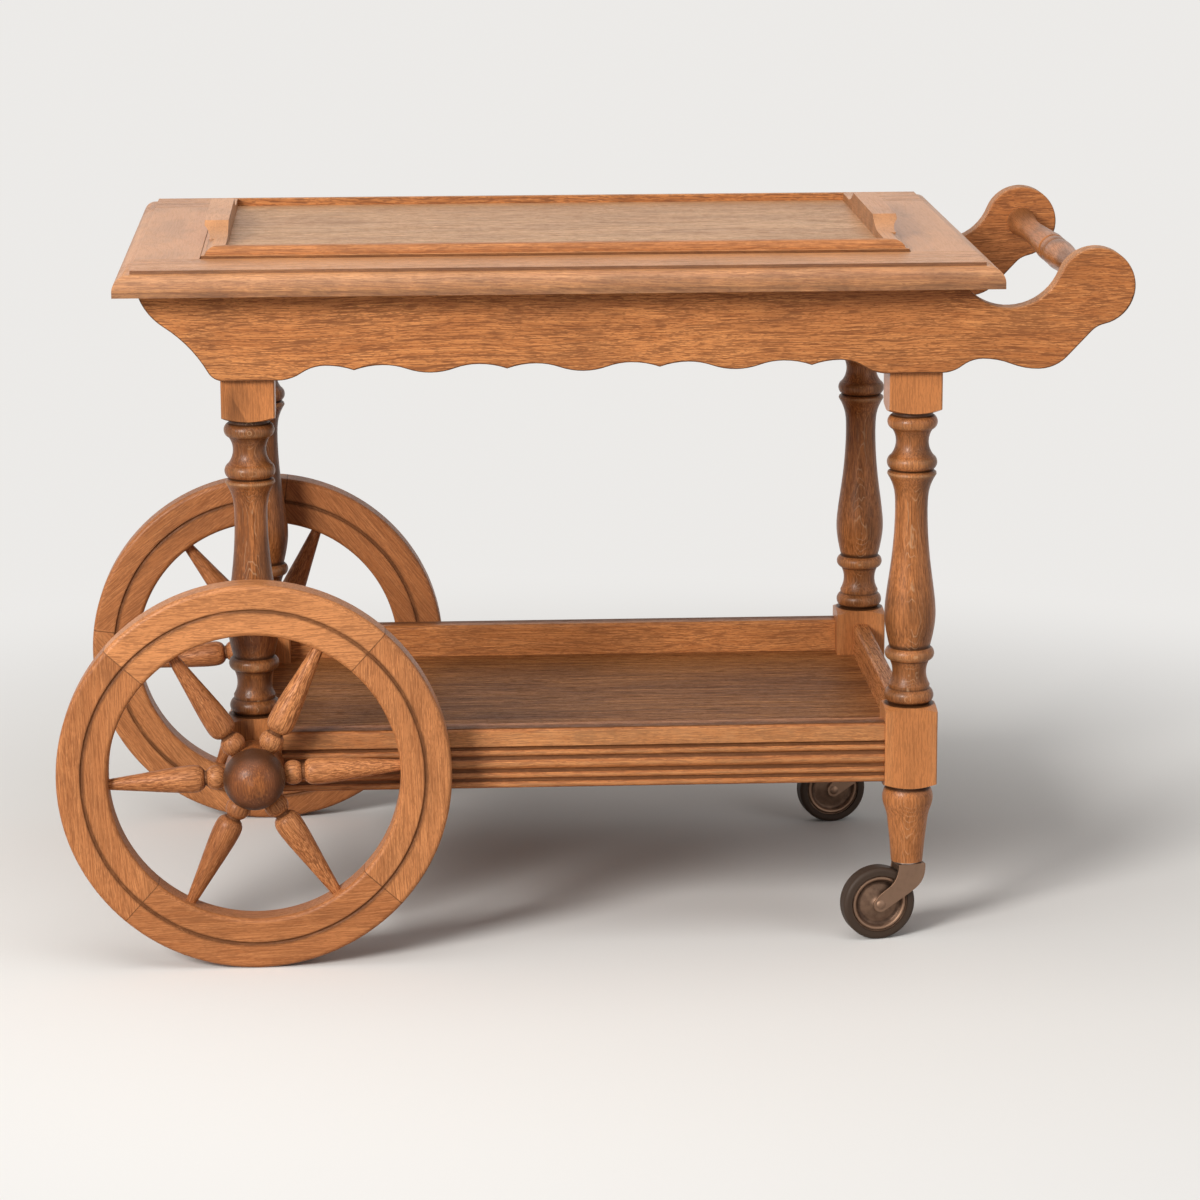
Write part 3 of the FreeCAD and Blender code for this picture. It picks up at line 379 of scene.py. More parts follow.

# %% [markdown]
# ## Colours of the eight oak finishes
# Each finish has a pale and a deep wood colour and the colour of its pores. They are linear
# colours, which look darker in numbers than on screen. The top and the tray floor are the
# most polished and the palest; their pale greyish colours hold a painted sheen as well as the
# wood's own colour. The hubs and the turned legs are the darkest.

# %% Choose the colours
finishes = {
    "oak_frame": oak("oak rails", (0.74, 0.310, 0.105), (0.42, 0.145, 0.042),
                     (0.16, 0.048, 0.014), pore_ink=0.72),
    "oak_wheel": oak("oak felloes", (0.70, 0.295, 0.112), (0.38, 0.134, 0.044),
                     (0.16, 0.048, 0.014), pore_ink=0.75, shine=0.25),
    # Painted sheen: these pale colours stand partly for the gloss of the top.
    "oak_top": oak("oak top", (0.73, 0.340, 0.135), (0.47, 0.185, 0.066),
                   (0.20, 0.066, 0.020), polish=0.34, cover=0.35, pore_ink=0.5, patches=0.2,
                   shine=0.6, bands=0.7),
    "oak_turned": oak("oak turnings", (0.57, 0.215, 0.070), (0.19, 0.059, 0.014),
                      (0.075, 0.023, 0.007), polish=0.30, hollow_dark=0.95, patches=0.6,
                      pore_ink=0.6, shine=0.28),
    "oak_hub": oak("oak hubs", (0.46, 0.155, 0.042), (0.17, 0.050, 0.014),
                   (0.050, 0.016, 0.006), polish=0.34, pore_ink=0.45, hollow_dark=0.9,
                   ridge_pale=0.1, patches=0.4, bump=0.2, shine=0.3),
    "oak_shelf": oak("oak shelf", (0.58, 0.250, 0.082), (0.23, 0.084, 0.026),
                     (0.070, 0.023, 0.008), polish=0.42, cover=0.6, shine=0.1, bands=1.2),
    # Painted sheen: the tray floor's pale greyish colour is partly the gloss it shows from above.
    "oak_tray_floor": oak("oak tray floor", (0.78, 0.460, 0.240), (0.50, 0.258, 0.125),
                          (0.18, 0.072, 0.030), polish=0.38, cover=0.7, gap=4.2, shine=0.3,
                          bands=0.5, pore_ink=0.6),
    "oak_hidden": oak("plain sawn oak", (0.50, 0.24, 0.10), (0.32, 0.14, 0.052),
                      (0.15, 0.060, 0.022), polish=0.6, bump=0.5),
}
print("finishes:", sorted(finishes))

# %% [markdown]
# ## Metal and rubber
# The casters are pressed steel with a bronze tint, with a dark tyre. Their dish is darkened,
# a painted shade, and their raised ring and fork edges are made paler, a painted highlight as
# well as wear. The relief number that darkens hollows in the wood serves the metal too. Noise
# on object coordinates breaks up the colour and the polish. Rubber is made the same way, with
# the metallic value at zero.

# %% Metal and rubber finishes
patch_scale, speck_scale, patch_share = (0.16, 0.16, 0.16), (2.5, 2.5, 2.5), 0.9
speck_bump, speck_depth = 0.12, 0.1 * millimetre


def metal(name, colour, hollow, ridge, polish, grit=0.12, metallic=1.0, shine=0.5):
    material = bpy.data.materials.new(name)
    material.use_nodes = True
    tree = material.node_tree
    shader = tree.nodes["Principled BSDF"]
    in_mm = in_millimetres(tree, put(tree, "TexCoord").outputs["Object"])
    relief = put(tree, "Attribute", attribute_name="relief").outputs["Fac"]
    patches = stretched_noise(tree, in_mm, patch_scale, 4.0, 0.6)
    specks = stretched_noise(tree, in_mm, speck_scale, 2.0, 0.5)
    uneven = calc(tree, "MULTIPLY", calc(tree, "SUBTRACT", patches, 0.5), patch_share)
    level = calc(tree, "ADD", relief, uneven)
    # Where relief is set, the ridge colour is a painted highlight and the hollow colour a painted
    # shade.
    tint = mix_colour(tree, ramp(tree, level, 0.0, 1.0), colour + (1.0,), ridge + (1.0,))
    tint = mix_colour(tree, ramp(tree, level, 0.0, -1.0), tint, hollow + (1.0,))
    tree.links.new(tint, shader.inputs["Base Color"])
    rough = calc(tree, "ADD", polish, calc(tree, "MULTIPLY", patches, grit))
    tree.links.new(calc(tree, "ADD", rough, calc(tree, "MULTIPLY", specks, grit)),
                   shader.inputs["Roughness"])
    shader.inputs["Metallic"].default_value = metallic
    shader.inputs["Specular IOR Level"].default_value = shine
    bumps = put(tree, "Bump", {"Height": specks, "Strength": speck_bump,
                               "Distance": speck_depth})
    tree.links.new(bumps.outputs["Normal"], shader.inputs["Normal"])
    print("finish:", name)
    return material


finishes["steel"] = metal("zinc steel", (0.52, 0.51, 0.49), (0.40, 0.38, 0.36),
                          (0.62, 0.61, 0.59), 0.28)
finishes["brass"] = metal("turned brass", (0.66, 0.45, 0.19), (0.55, 0.36, 0.14),
                          (0.78, 0.55, 0.26), 0.24)
finishes["bronzed_steel"] = metal("bronzed steel", (0.25, 0.155, 0.105), (0.060, 0.036, 0.026),
                                  (0.31, 0.180, 0.110), 0.30, grit=0.22)
finishes["tyre"] = metal("tyre rubber", (0.050, 0.031, 0.021), (0.022, 0.015, 0.011),
                         (0.070, 0.055, 0.045), 0.42, metallic=0.0, shine=0.25)

# %% [markdown]
# ## Grain on the parts
# A board's grain runs along its length, whichever way the board points in the trolley. The
# grain attribute stores each point as it lay in the tree: turned so that x is along the
# trunk, moved a little for every part so that no two match, and tilted a degree or two,
# which is what draws the long arches on a flat-sawn board.

# %% Lay the grain
board_numbers = itertools.count(1)
step_along, step_round, step_out = 0.37, 0.013, 0.12


def trunk_axes(along, through, tilt):
    """Rows that turn a point into the tree: along the trunk, round it, out from the heart."""
    length = Vector(along).normalized()
    depth = (Vector(through) - length * length.dot(Vector(through))).normalized()
    side = depth.cross(length)
    lean = Matrix.Rotation(math.radians(tilt), 3, side)
    return np.array([lean @ length, side, lean @ depth])


def read_values(mesh, data, key, width):
    values = np.zeros(len(data) * width, dtype=np.float32)
    data.foreach_get(key, values)
    return values.reshape(-1, width).astype(float)


def write_values(mesh, name, values, domain="POINT"):
    """Stores one number or one vector for each point, corner or face."""
    kind, key = (("FLOAT_VECTOR", "vector") if np.ndim(values) == 2 else ("FLOAT", "value"))
    layer = mesh.attributes.get(name) or mesh.attributes.new(name, kind, domain)
    layer.data.foreach_set(key, np.ascontiguousarray(values, dtype=np.float32).ravel())


def lay_grain(mesh, along, through, tilt=1.6, heart=75, chosen=slice(None)):
    """Stores the place in the tree for all points of a mesh, or for the chosen ones."""
    number = next(board_numbers)
    points = read_values(mesh, mesh.vertices, "co", 3)
    places = np.zeros_like(points)
    if "grain" in mesh.attributes:
        places = read_values(mesh, mesh.attributes["grain"].data, "vector", 3)
    middle = (points[chosen].min(axis=0) + points[chosen].max(axis=0)) / 2
    shift = np.array([step_along * number, step_round * ((number * 7) % 5 - 2),
                      heart * millimetre * (1 + step_out * ((number * 3) % 4))])
    places[chosen] = (points[chosen] - middle) @ trunk_axes(along, through, tilt).T + shift
    write_values(mesh, "grain", places)


print("a board along Y is turned by", trunk_axes((0, 1, 0), (0, 0, 1), 0).round(2).tolist())

# %% [markdown]
# ## Copies that ride on the model
# A part of the model may get a material, but its mesh is never changed. Where the mesh
# needs bevels or attributes, a copy takes its place and rides on the same body, so that it
# still turns with its wheel or lifts with the tray.

# %% Put a copy in a part's place
bodies = frame["record"]["behaviour"]["bodies"]
body_of = {name: body for body, names in bodies.items() for name in names}
slot_of = {s["node"]: s["material_slot"] for s in frame["record"]["subparts"]}


def riding_copy(name, mesh, tone=0.0, calm=0.0, finish=None):
    """Puts a mesh in a part's place. Its finish is that of its slot, unless one is given."""
    mesh.name = name + "_dressed"
    write_values(mesh, "tone", np.full(len(mesh.vertices), tone))
    write_values(mesh, "calm", np.full(len(mesh.vertices), calm))
    piece = bpy.data.objects.new(name + "_dressed", mesh)
    bpy.context.collection.objects.link(piece)
    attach(piece, body_of[name])
    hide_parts(name)
    mesh.materials.clear()
    mesh.materials.append(finishes[finish or slot_of[name]])
    return piece


print("bodies:", {body: len(names) for body, names in bodies.items()})

# %% [markdown]
# ## Eased edges
# A sawn board never keeps a razor edge, and the eased edge, the arris, is what catches the
# light. The model's flat parts have sharp corners, so the loose triangles of a copy are
# merged, flat regions dissolved into single faces, and every sharp outer edge is bevelled
# by a fraction of a millimetre. The new narrow faces are marked as ridges, for the wear.

# %% Ease the edges
weld_distance = 0.01 * millimetre
flat_angle, sharp_angle, smooth_angle = (math.radians(turn) for turn in (0.4, 28, 50))


def eased_mesh(name, arris):
    """A copy with bevelled edges, and which of its faces are the narrow new ones."""
    mesh = bpy.data.meshes.new(name)
    bm = bmesh.new()
    bm.from_mesh(parts[name].data)
    bmesh.ops.remove_doubles(bm, verts=bm.verts, dist=weld_distance)
    bmesh.ops.dissolve_limit(bm, angle_limit=flat_angle, verts=bm.verts, edges=bm.edges,
                             use_dissolve_boundaries=False)
    bm.normal_update()
    sharp = [edge for edge in bm.edges if len(edge.link_faces) == 2
             and edge.is_convex and edge.calc_face_angle(0) > sharp_angle]
    made = bmesh.ops.bevel(bm, geom=sharp, offset=arris * millimetre, offset_type="OFFSET",
                           segments=2, profile=0.5, affect="EDGES", clamp_overlap=True,
                           material=-1)
    bm.faces.index_update()
    narrow = np.zeros(len(bm.faces), bool)
    narrow[[face.index for face in made["faces"] if face.is_valid]] = True
    bm.to_mesh(mesh)
    bm.free()
    mesh.shade_smooth()
    mesh.set_sharp_from_angle(angle=smooth_angle)
    print(name, "edges eased:", len(sharp), "faces:", len(mesh.polygons))
    return mesh, narrow


def even_shading(piece):
    """Lets the wide faces rule the normals, so that flat faces stay flat up to the edge."""
    weighted = piece.modifiers.new("even shading", "WEIGHTED_NORMAL")
    weighted.keep_sharp = True
    return piece


print("edges sharper than", round(math.degrees(sharp_angle)), "degrees are eased")

# %% [markdown]
# ## One function for every board
# A board differs from the next in the way its grain runs, how far its edges are eased, its
# tone, and how calm its figure is. Two kinds of painted shade lie on it. Edge shade darkens,
# unevenly, all that doesn't face upwards, as if the light came from above. A dark band is a
# range of heights, and painted shade fills the upright faces that lie in it, such as a step
# in a moulding.

# %% Dress a board
level_face, shade_fade, upright_face = 0.99, 0.3, 0.5


def board(name, along, through, arris=0.5, tone=0.0, calm=0.0, edge_shade=0.0, tilt=1.6,
          ridge=1.0, dark_bands=(), finish=None):
    mesh, narrow = eased_mesh(name, arris)
    facing_up = read_values(mesh, mesh.polygon_normals, "vector", 3)[:, 2]
    height = read_values(mesh, mesh.polygons, "center", 3)[:, 2]
    # Painted shade: faces turned away from up, and the upright faces inside the dark bands.
    stain_and_shade = edge_shade * np.clip((level_face - facing_up) / shade_fade, 0, 1)
    for low, high, depth in dark_bands:
        inside = (facing_up < upright_face) & (height > low) & (height < high)
        stain_and_shade = np.where(inside, depth + narrow * ridge, stain_and_shade)
    write_values(mesh, "relief", narrow * ridge - stain_and_shade, "FACE")
    lay_grain(mesh, along, through, tilt)
    return even_shading(riding_copy(name, mesh, tone, calm, finish))


upward, backward, sideways = (0, 0, 1), (0, 1, 0), (1, 0, 0)
print("grain runs along", sideways, "in long boards and", backward, "in end boards")

# %% [markdown]
# ## Measuring hollows and ridges
# The lathe left grooves between the beads of the legs, and stain stays in them, with painted
# shade added there too. They could be listed one by one, or found. Here the outline of a
# turning is measured along its length and smoothed. Where the wood lies inside the smooth
# outline it is a hollow, and outside it a ridge. A narrow window finds the grooves, a wide one
# the shade below each collar, which is painted into the colour.

# %% Measure hollows and ridges
slot_length = 0.4 * millimetre
wide_window, collar_shade_share = 3.5, 0.6


def outline_over(along, across):
    """The furthest reach of across in every slot of along, and the slot of each point."""
    slots = ((along - along.min()) / slot_length).astype(int)
    outline = np.zeros(slots.max() + 1)
    np.maximum.at(outline, slots, across)
    known = np.nonzero(outline)[0]
    return np.interp(np.arange(len(outline)), known, outline[known]), slots


def profile_relief(along, across, window, depth):
    """How far the outline of across over along stands out from its own average."""
    outline, slots = outline_over(along, across)
    reach = int(window * millimetre / slot_length)
    weights = np.hanning(2 * reach + 1)
    smooth = np.convolve(np.pad(outline, reach, mode="edge"), weights / weights.sum(),
                         mode="valid")
    return np.clip((outline - smooth)[slots] / (depth * millimetre), -1, 1)


def lathe_relief(points, foot, axis, window, depth):
    """The relief of a turning that stands on foot and turns about axis."""
    offset = points - np.array(foot, float)
    height = offset @ np.array(axis, float)
    radius = np.linalg.norm(offset - np.outer(height, axis), axis=1)
    fine = profile_relief(height, radius, window, depth)
    # The wide window paints the shade below each collar.
    collar_shade = profile_relief(height, radius, wide_window * window, wide_window * depth)
    return np.clip(fine + collar_shade_share * collar_shade, -1, 1)


def middle_of(name):
    low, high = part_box(name)
    return (low + high) / 2


print("middle of the handle rod:", [round(c, 4) for c in middle_of("handle_rod")])

# %% [markdown]
# ## The top
# Every board gets its own tone, because a maker never finds two that match. The long boards
# carry the figure, and the end boards that run across them are calmer. Painted shade is laid
# in the narrow step below the table and at the foot of the moulded edge.

# %% Dress the top
under_top, table = (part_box("top_strip_front")[end][2] for end in (0, 1))
# Painted shade in the step below the table and along the foot of the moulded edge.
step_band = (table - 3.1 * millimetre, table, 0.85)
foot_band = (under_top, under_top + 5.2 * millimetre, 0.55)
top_bands = (step_band, foot_band)
print("the table lies", round(table / millimetre, 1), "mm above the floor")

board("top_strip_front", sideways, upward, tone=0.09, edge_shade=0.42, dark_bands=top_bands)
board("top_strip_back", sideways, upward, tone=0.02, edge_shade=0.35, dark_bands=top_bands)
for end in ("wheel", "handle"):
    board("top_end_" + end, backward, upward, tone=0.04, calm=0.72, edge_shade=0.4,
          dark_bands=top_bands)

# %% [markdown]
# ## The tray and the shelf
# The tray's floor and the shelf are veneered, so their grain is long and even and hardly
# tilted. The tray's mouldings have a low fillet that rises from the table, and painted shade
# darkens it where it meets the table. Two sides of the shelf are reeded rails. There the depth
# below the outermost face tells reeds from grooves, so stain and painted shade fill each
# groove, and the reeds are paler, from wear and a painted highlight.

# %% Dress the tray and the shelf
# Painted shade in the crease where the mouldings rise from the table.
fillet_band = (0.0, table + 2.7 * millimetre, 0.7)
reed_depth, outer_side = 2.4 * millimetre, 1.5


def reeded(name, tone):
    """A shelf rail. Only points near its outer side can be reeds or grooves."""
    mesh = eased_mesh(name, 0.3)[0]
    outward = np.abs(read_values(mesh, mesh.vertices, "co", 3)[:, 1])
    sunk = (outward.max() - outward) / reed_depth
    # Grooves get stain and painted shade, reed tops wear and a painted highlight.
    write_values(mesh, "relief", np.where(sunk < outer_side, 0.6 - 1.6 * sunk.clip(0, 1), 0))
    lay_grain(mesh, sideways, backward)
    return even_shading(riding_copy(name, mesh, tone, 0.2))


board("tray_moulding_front", sideways, upward, arris=0.4, tone=-0.05, calm=0.3, edge_shade=0.3,
      dark_bands=(fillet_band,))
board("tray_moulding_back", sideways, upward, arris=0.4, tone=0.05, edge_shade=0.3)
# The tray ends take the pale top finish, whose paleness is partly a painted sheen.
for end, tone in (("wheel", 0.14), ("handle", 0.04)):
    board("tray_end_" + end, backward, upward, arris=0.3, tone=tone, calm=0.6, edge_shade=0.5,
          ridge=0.2, dark_bands=(fillet_band,), finish="oak_top")
for veneered in ("tray_floor", "shelf_panel"):
    board(veneered, sideways, upward, arris=0.2, tilt=0.8)
reeded("shelf_rail_front", -0.16)
reeded("shelf_rail_back", -0.06)
for end in ("wheel", "handle"):
    board("shelf_end_" + end, backward, sideways, arris=0.3, tone=-0.06)

# %% [markdown]
# ## Boards that nobody polishes
# The cross rails, the battens that carry the tray and the glue blocks sit under the top.
# They are plain sawn wood with heavier arrises, and no cloth has rubbed their edges pale.

# %% Dress the hidden boards
for end in ("wheel", "handle"):
    board("cross_rail_" + end, backward, sideways, arris=0.8, ridge=0.4)
for side in ("front", "back"):
    board("tray_bearer_" + side, sideways, upward, arris=0.6, ridge=0.3)
board("tray_ledge", backward, upward, arris=0.6, ridge=0.3)
board("glue_blocks", sideways, upward, arris=0.8, ridge=0.3)

# %% [markdown]
# ## Side rails
# The scalloped rails already have rounded edges in the model, with smooth normals along
# their curves, so they are copied whole. The rounding shows in the normals: a point whose
# normal leans away from the flat face lies on the round. Where the round faces up it is
# painted pale, for wear and a painted highlight, and where it faces down it is painted dark,
# for stain and painted shade. Towards the handle the rails grow a little darker.

# %% Dress the side rails
flat_facing, round_fade, upper_fade = 0.985, 0.1, 0.4
paler_at_wheel, darker_by_handle = 0.06, 0.18


def side_rail(name, tone):
    mesh = parts[name].data.copy()
    normals = read_values(mesh, mesh.corner_normals, "vector", 3)
    on_round = np.clip((flat_facing - np.abs(normals[:, 1])) / round_fade, 0, 1)
    upper = np.clip(normals[:, 2] / upper_fade, 0, 1)
    # Painted light on the rounds: pale where they face up, dark where they face down.
    write_values(mesh, "relief", on_round * (1.4 * upper - 0.8), "CORNER")
    lay_grain(mesh, sideways, backward, tilt=1.2)
    across = read_values(mesh, mesh.vertices, "co", 3)[:, 0]
    share = (across - across.min()) / np.ptp(across)
    print(name, "points:", len(mesh.vertices))
    return riding_copy(name, mesh, tone + paler_at_wheel - darker_by_handle * share)


side_rail("side_rail_front", 0.0)
side_rail("side_rail_back", -0.10)

# %% [markdown]
# ## Turnings
# Legs, spokes, hubs and the handle rod came off a lathe. The model's surfaces are smooth
# there, so a copy keeps them. The leg's front lies along the rays of the oak, so pale wavy
# flecks show in the middle of its bulb: the quarter attribute is large where the surface
# faces round the trunk.

# %% Dress a turning
groove_window, groove_depth, lathe_tilt = 6.0, 1.8, 1.0
ray_facing, ray_fade = 0.8, 0.18


def turning(name, axis, foot, tone=0.0, calm=0.3, trunk=None, through=sideways, heart=28):
    """A turned part. Its trunk is its axis, unless it was cut from the tree another way."""
    mesh = parts[name].data.copy()
    points = read_values(mesh, mesh.vertices, "co", 3)
    normals = read_values(mesh, mesh.vertex_normals, "vector", 3)
    trunk = trunk or axis
    round_trunk = trunk_axes(trunk, through, lathe_tilt)[1]
    ray_face = (np.abs(normals @ round_trunk) - ray_facing) / ray_fade
    write_values(mesh, "relief", lathe_relief(points, foot, axis, groove_window, groove_depth))
    write_values(mesh, "quarter", np.clip(ray_face, 0, 1))
    lay_grain(mesh, trunk, through, lathe_tilt, heart)
    print(name, "points:", len(points))
    return riding_copy(name, mesh, tone, calm)


print("grooves are looked for within", groove_window, "mm")

# %% [markdown]
# ## Legs and handle rod
# The blocks that the turner leaves square, and the foot, took less stain than the turned
# length between them. A point belongs to a block where the outline of the leg reaches
# further out than any bead. A leg starts as a blank glued up from two pieces, so its halves
# can differ in tone on either side of a seam. The handle rod lies across the trolley, and
# the hands that hold it have polished its figure away.

# %% Dress the legs and the handle rod
block_reach, foot_top, seam_place = (size * millimetre for size in (22.9, 140, -2))
foot_tone = 0.12
block_shares = {"relief": 0.4, "quarter": 0.0, "calm": 1.8}


def leg(name, tone, block_tone, seam=0.0):
    foot = middle_of(name)
    mesh = turning(name, upward, foot).data
    points = read_values(mesh, mesh.vertices, "co", 3)
    reach = np.linalg.norm((points - np.array(foot))[:, :2], axis=1)
    outline, slots = outline_over(points[:, 2], reach)
    square = outline[slots] > block_reach
    tones = tone + block_tone * square + foot_tone * (points[:, 2] < foot_top)
    halves = np.where(points[:, 0] < foot[0] + seam_place, -seam, seam)
    write_values(mesh, "tone", tones + halves)
    for key, share in block_shares.items():
        values = read_values(mesh, mesh.attributes[key].data, "value", 1)[:, 0]
        write_values(mesh, key, np.where(square, values * share, values))


leg("leg_wheel_front", -0.12, 0.28, 0.10)
leg("leg_wheel_back", -0.08, 0.20)
leg("leg_caster_front", 0.10, 0.32)
leg("leg_caster_back", 0.03, 0.20)
turning("handle_rod", backward, middle_of("handle_rod"), tone=0.12, calm=0.5, through=upward)

# %% [markdown]
# ## Cart wheels
# A wheel's rim is sawn from four felloes, and the grain of each runs straight along its
# chord, so the figure changes at every joint. Dirt draws a dark line where two felloes
# meet, and painted shade lies along the groove that runs round the rim. Each felloe stores how
# far every point lies from the axle, outwards and along the chord, so that the finish can
# find the ring, and the joints, where both are equal.

# %% Dress the felloes
felloe_tones = {"front": (0.14, -0.08, -0.12, 0.02), "back": (-0.05, -0.19, -0.15, -0.15)}


def felloe(side, number, tone):
    name = "felloe_%s_%d" % (side, number)
    centre = np.array(middle_of("hub_" + side))
    outward = np.array(middle_of(name)) - centre
    outward[1] = 0
    outward /= np.linalg.norm(outward)
    mesh, narrow = eased_mesh(name, 0.35)
    chord = np.array([-outward[2], 0, outward[0]])
    write_values(mesh, "relief", narrow * 0.4, "FACE")
    offset = read_values(mesh, mesh.vertices, "co", 3) - centre
    write_values(mesh, "from axle",
                 np.stack([offset @ outward, offset @ chord, np.zeros(len(offset))], axis=1))
    lay_grain(mesh, chord, backward, tilt=1.4)
    return even_shading(riding_copy(name, mesh, tone, 0.42, "oak_wheel"))


for side, tones in felloe_tones.items():
    for number, tone in enumerate(tones, start=1):
        felloe(side, number, tone)

# %% [markdown]
# ## Spokes
# The six spokes of a wheel are one part, so they are told apart by their angle, and each
# gets its own grain and tone. They are counted from the one at the right, upwards and round.

# %% Dress the spokes
first_spoke = {"front": 3.0, "back": 7.0}
spoke_tones = {"front": (0.0, -0.02, -0.10, -0.06, -0.24, -0.08),
               "back": (-0.22, -0.18, -0.24, -0.20, -0.22, -0.18)}
pitch, spoke_groove_depth, spoke_heart = 60, 1.6, 30


def spokes(side, tones):
    name = "spokes_" + side
    mesh = parts[name].data.copy()
    points = read_values(mesh, mesh.vertices, "co", 3)
    centre = np.array(middle_of(name))
    offset = points - centre
    angle = np.degrees(np.arctan2(offset[:, 2], offset[:, 0]))
    relief = np.zeros(len(points))
    shades = np.zeros(len(points))
    for number, tone in enumerate(tones):
        turn = first_spoke[side] + pitch * number
        chosen = np.abs((angle - turn + 180) % 360 - 180) < pitch / 2
        axis = (math.cos(math.radians(turn)), 0, math.sin(math.radians(turn)))
        relief[chosen] = lathe_relief(points[chosen], centre, axis, groove_window,
                                      spoke_groove_depth)
        shades[chosen] = tone
        lay_grain(mesh, axis, backward, lathe_tilt, spoke_heart, chosen)
    write_values(mesh, "relief", relief)
    print(name, "spokes:", len(tones))
    return riding_copy(name, mesh, shades, 0.05, "oak_wheel")


for side, tones in spoke_tones.items():
    spokes(side, tones)

# %% [markdown]
# ## Hubs
# The ball on the hub is turned from a block whose grain runs upright, which draws fine lines
# across its face. Relief and tone both fall towards its sides, for stain held further out
# and for painted shade where the ball curves away and meets the hub.

# %% Dress the hubs
hub_trunk, hub_heart = (-0.15, 0, 1), 40
for side in ("front", "back"):
    turning("hub_" + side, backward, middle_of("hub_" + side), calm=0.0, trunk=hub_trunk,
            heart=hub_heart)
    ball_middle = middle_of("hub_cap_" + side)
    cap = turning("hub_cap_" + side, backward, ball_middle, trunk=hub_trunk, through=backward,
                  calm=0.2, heart=hub_heart).data
    off_axle = (read_values(cap, cap.vertices, "co", 3) - ball_middle)[:, [0, 2]]
    share = np.linalg.norm(off_axle, axis=1)
    share /= share.max()
    # Stain and painted shade: the ball darkens towards its rim.
    write_values(cap, "relief", 0.2 - 1.3 * share ** 3)
    write_values(cap, "tone", 0.10 - 0.5 * share)

# %% [markdown]
# ## Casters
# The dish of the caster wheel is measured like a turning, but the other way round: its
# height over its radius. Its ring is painted bright, a painted highlight, and its dish dark,
# a painted shade, and the middle keeps one even tone. The fork is bent from plate, and its
# edges are eased and painted paler, so that they show a thin light line as a painted highlight.

# %% Dress the casters
dish_window, dish_depth, even_middle = 6.0, 1.6, 17 * millimetre
joints = {joint["name"]: joint for joint in frame["record"]["behaviour"]["joints"]}


def caster_disc(side):
    name = "caster_disc_" + side
    roll = joints["caster_%s_roll" % side]
    mesh = parts[name].data.copy()
    offset = read_values(mesh, mesh.vertices, "co", 3) - np.array(roll["pos_m"])
    height = offset @ np.array(roll["axis"])
    radius = np.linalg.norm(offset - np.outer(height, roll["axis"]), axis=1)
    relief = profile_relief(radius, np.abs(height), dish_window, dish_depth)
    relief[radius < even_middle] = -0.1
    # Painted highlight on the ring and painted shade in the dish.
    write_values(mesh, "relief", 0.8 * relief - 0.35)
    print(name, "radius:", round(radius.max() / millimetre, 1), "mm")
    return riding_copy(name, mesh)


for side in ("front", "back"):
    caster_disc(side)
    fork, narrow = eased_mesh("fork_" + side, 0.35)
    # Painted highlight on the eased fork edges.
    write_values(fork, "relief", narrow * 0.6 - 0.1, "FACE")
    even_shading(riding_copy("fork_" + side, fork))

# %% [markdown]
# ## The parts that stay as they are
# Tyres, axles, nuts, screws and bushes are fine as the model has them, and only get their
# finish. A part that a copy has replaced is hidden by now, so it is passed over.

# %% Finish the remaining parts
for name, slot in slot_of.items():
    if not parts[name].hide_render:
        parts[name].data.materials.clear()
        parts[name].data.materials.append(finishes[slot])
        print(name, "gets", finishes[slot].name)

# %% [markdown]
# ## The floor
# The trolley stands on a plain pale floor. A floor that ends would show a line behind the
# trolley, and an endless one turns grey far from the lamps. So the floor near the trolley
# takes light and shadow as it should, and further out it fades into one flat pale colour,
# which only the camera, a gloss or a glass can see and which lights nothing. A white floor
# would also throw much light up at the trolley, so the colour that lights the object is
# darker and warmer than the one that is seen.

# %% Lay the floor
pale, thrown_up = (0.84, 0.825, 0.805, 1.0), (0.42, 0.36, 0.30, 1.0)
fade_start, fade_end, half_width = 0.5, 1.35, 40


def seen_by_eye(tree):
    """One for rays from the camera, a gloss or a glass, and zero for light on the object."""
    path = put(tree, "LightPath").outputs
    seen = calc(tree, "MAXIMUM", path["Is Camera Ray"], path["Is Glossy Ray"])
    return calc(tree, "MAXIMUM", seen, path["Is Transmission Ray"])


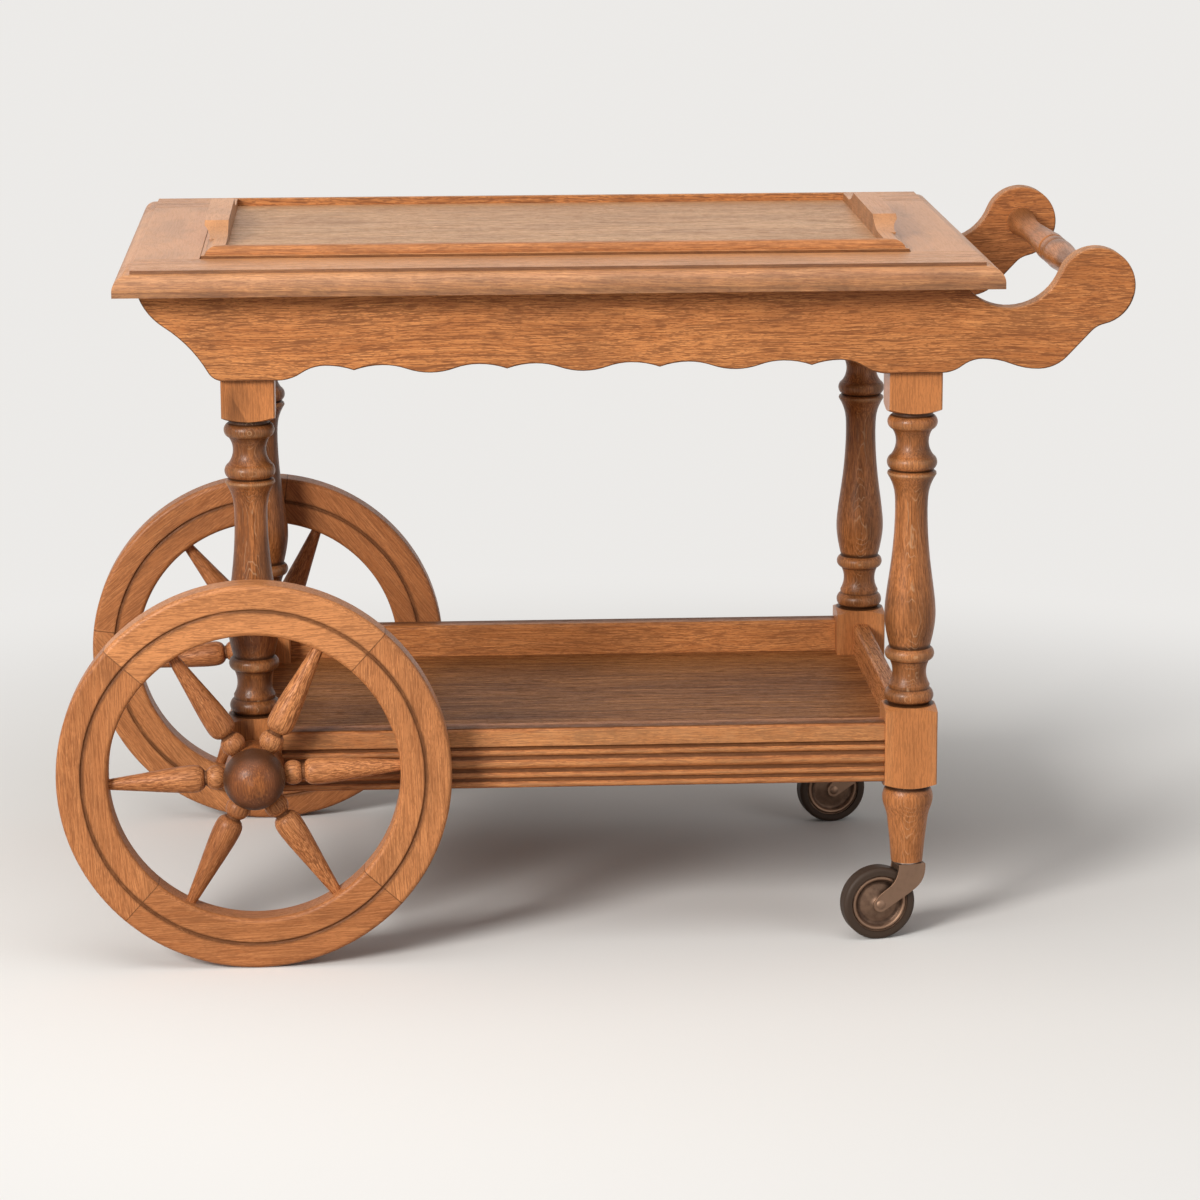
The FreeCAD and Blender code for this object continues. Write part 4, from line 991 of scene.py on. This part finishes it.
def plain_floor():
    mesh = bpy.data.meshes.new("floor")
    bm = bmesh.new()
    bmesh.ops.create_grid(bm, x_segments=1, y_segments=1, size=half_width)
    bm.to_mesh(mesh)
    bm.free()
    floor = bpy.data.objects.new("floor", mesh)
    bpy.context.collection.objects.link(floor)
    material = bpy.data.materials.new("pale floor")
    material.use_nodes = True
    tree = material.node_tree
    tree.nodes.clear()
    colour = mix_colour(tree, seen_by_eye(tree), thrown_up, pale)
    paint = put(tree, "BsdfDiffuse", {"Color": colour})
    glow = put(tree, "Emission", {"Color": pale, "Strength": 1.0})
    place = put(tree, "TexCoord").outputs["Object"]
    far = put(tree, "VectorMath", {0: place}, operation="LENGTH").outputs["Value"]
    share = calc(tree, "MULTIPLY", ramp(tree, far, fade_start, fade_end), seen_by_eye(tree))
    mixed = put(tree, "MixShader", {0: share, 1: paint.outputs[0], 2: glow.outputs[0]})
    put(tree, "OutputMaterial", {"Surface": mixed.outputs[0]})
    mesh.materials.append(material)
    print("floor:", tuple(floor.dimensions))


plain_floor()

# %% [markdown]
# ## Light
# A large soft lamp on the left in front, a little above eye level, stands for the window,
# one above stands for the ceiling, and a weak one on the right fills the shadows. The world
# has the colour of the far floor, so no line shows where they meet, and it gives the object
# only a third of the light that it seems to give.

# %% World and lamps
def pale_world(dim):
    world = bpy.data.worlds.new("studio")
    world.use_nodes = True
    tree = world.node_tree
    tree.nodes.clear()
    strength = calc(tree, "ADD", dim, calc(tree, "MULTIPLY", seen_by_eye(tree), 1.0 - dim))
    glow = put(tree, "Background", {"Color": pale, "Strength": strength})
    put(tree, "OutputWorld", {"Surface": glow.outputs[0]})
    bpy.context.scene.world = world
    print("world strength on the object:", dim)


def soft_lamp(name, place, target, size, watts, colour):
    """A round lamp of the given size in metres, turned towards the target."""
    lamp = bpy.data.lights.new(name, "AREA")
    lamp.shape = "DISK"
    lamp.size = size
    lamp.energy = watts
    lamp.color = colour
    thing = bpy.data.objects.new(name, lamp)
    bpy.context.collection.objects.link(thing)
    aim = Vector(target) - Vector(place)
    thing.matrix_world = (Matrix.Translation(place)
                          @ aim.to_track_quat("-Z", "Y").to_matrix().to_4x4())
    print(name, "at", place, watts, "W")


pale_world(0.32)
soft_lamp("window", (-2.6, -3.4, 2.2), (0, 0, 0.35), 1.5, 192, (1.0, 0.98, 0.95))
soft_lamp("ceiling", (-0.4, -0.7, 2.9), (0, 0, 0.6), 2.8, 32, (1.0, 0.99, 0.97))
soft_lamp("fill", (2.6, -2.2, 1.4), (0, 0, 0.3), 2.2, 14, (0.97, 0.98, 1.0))
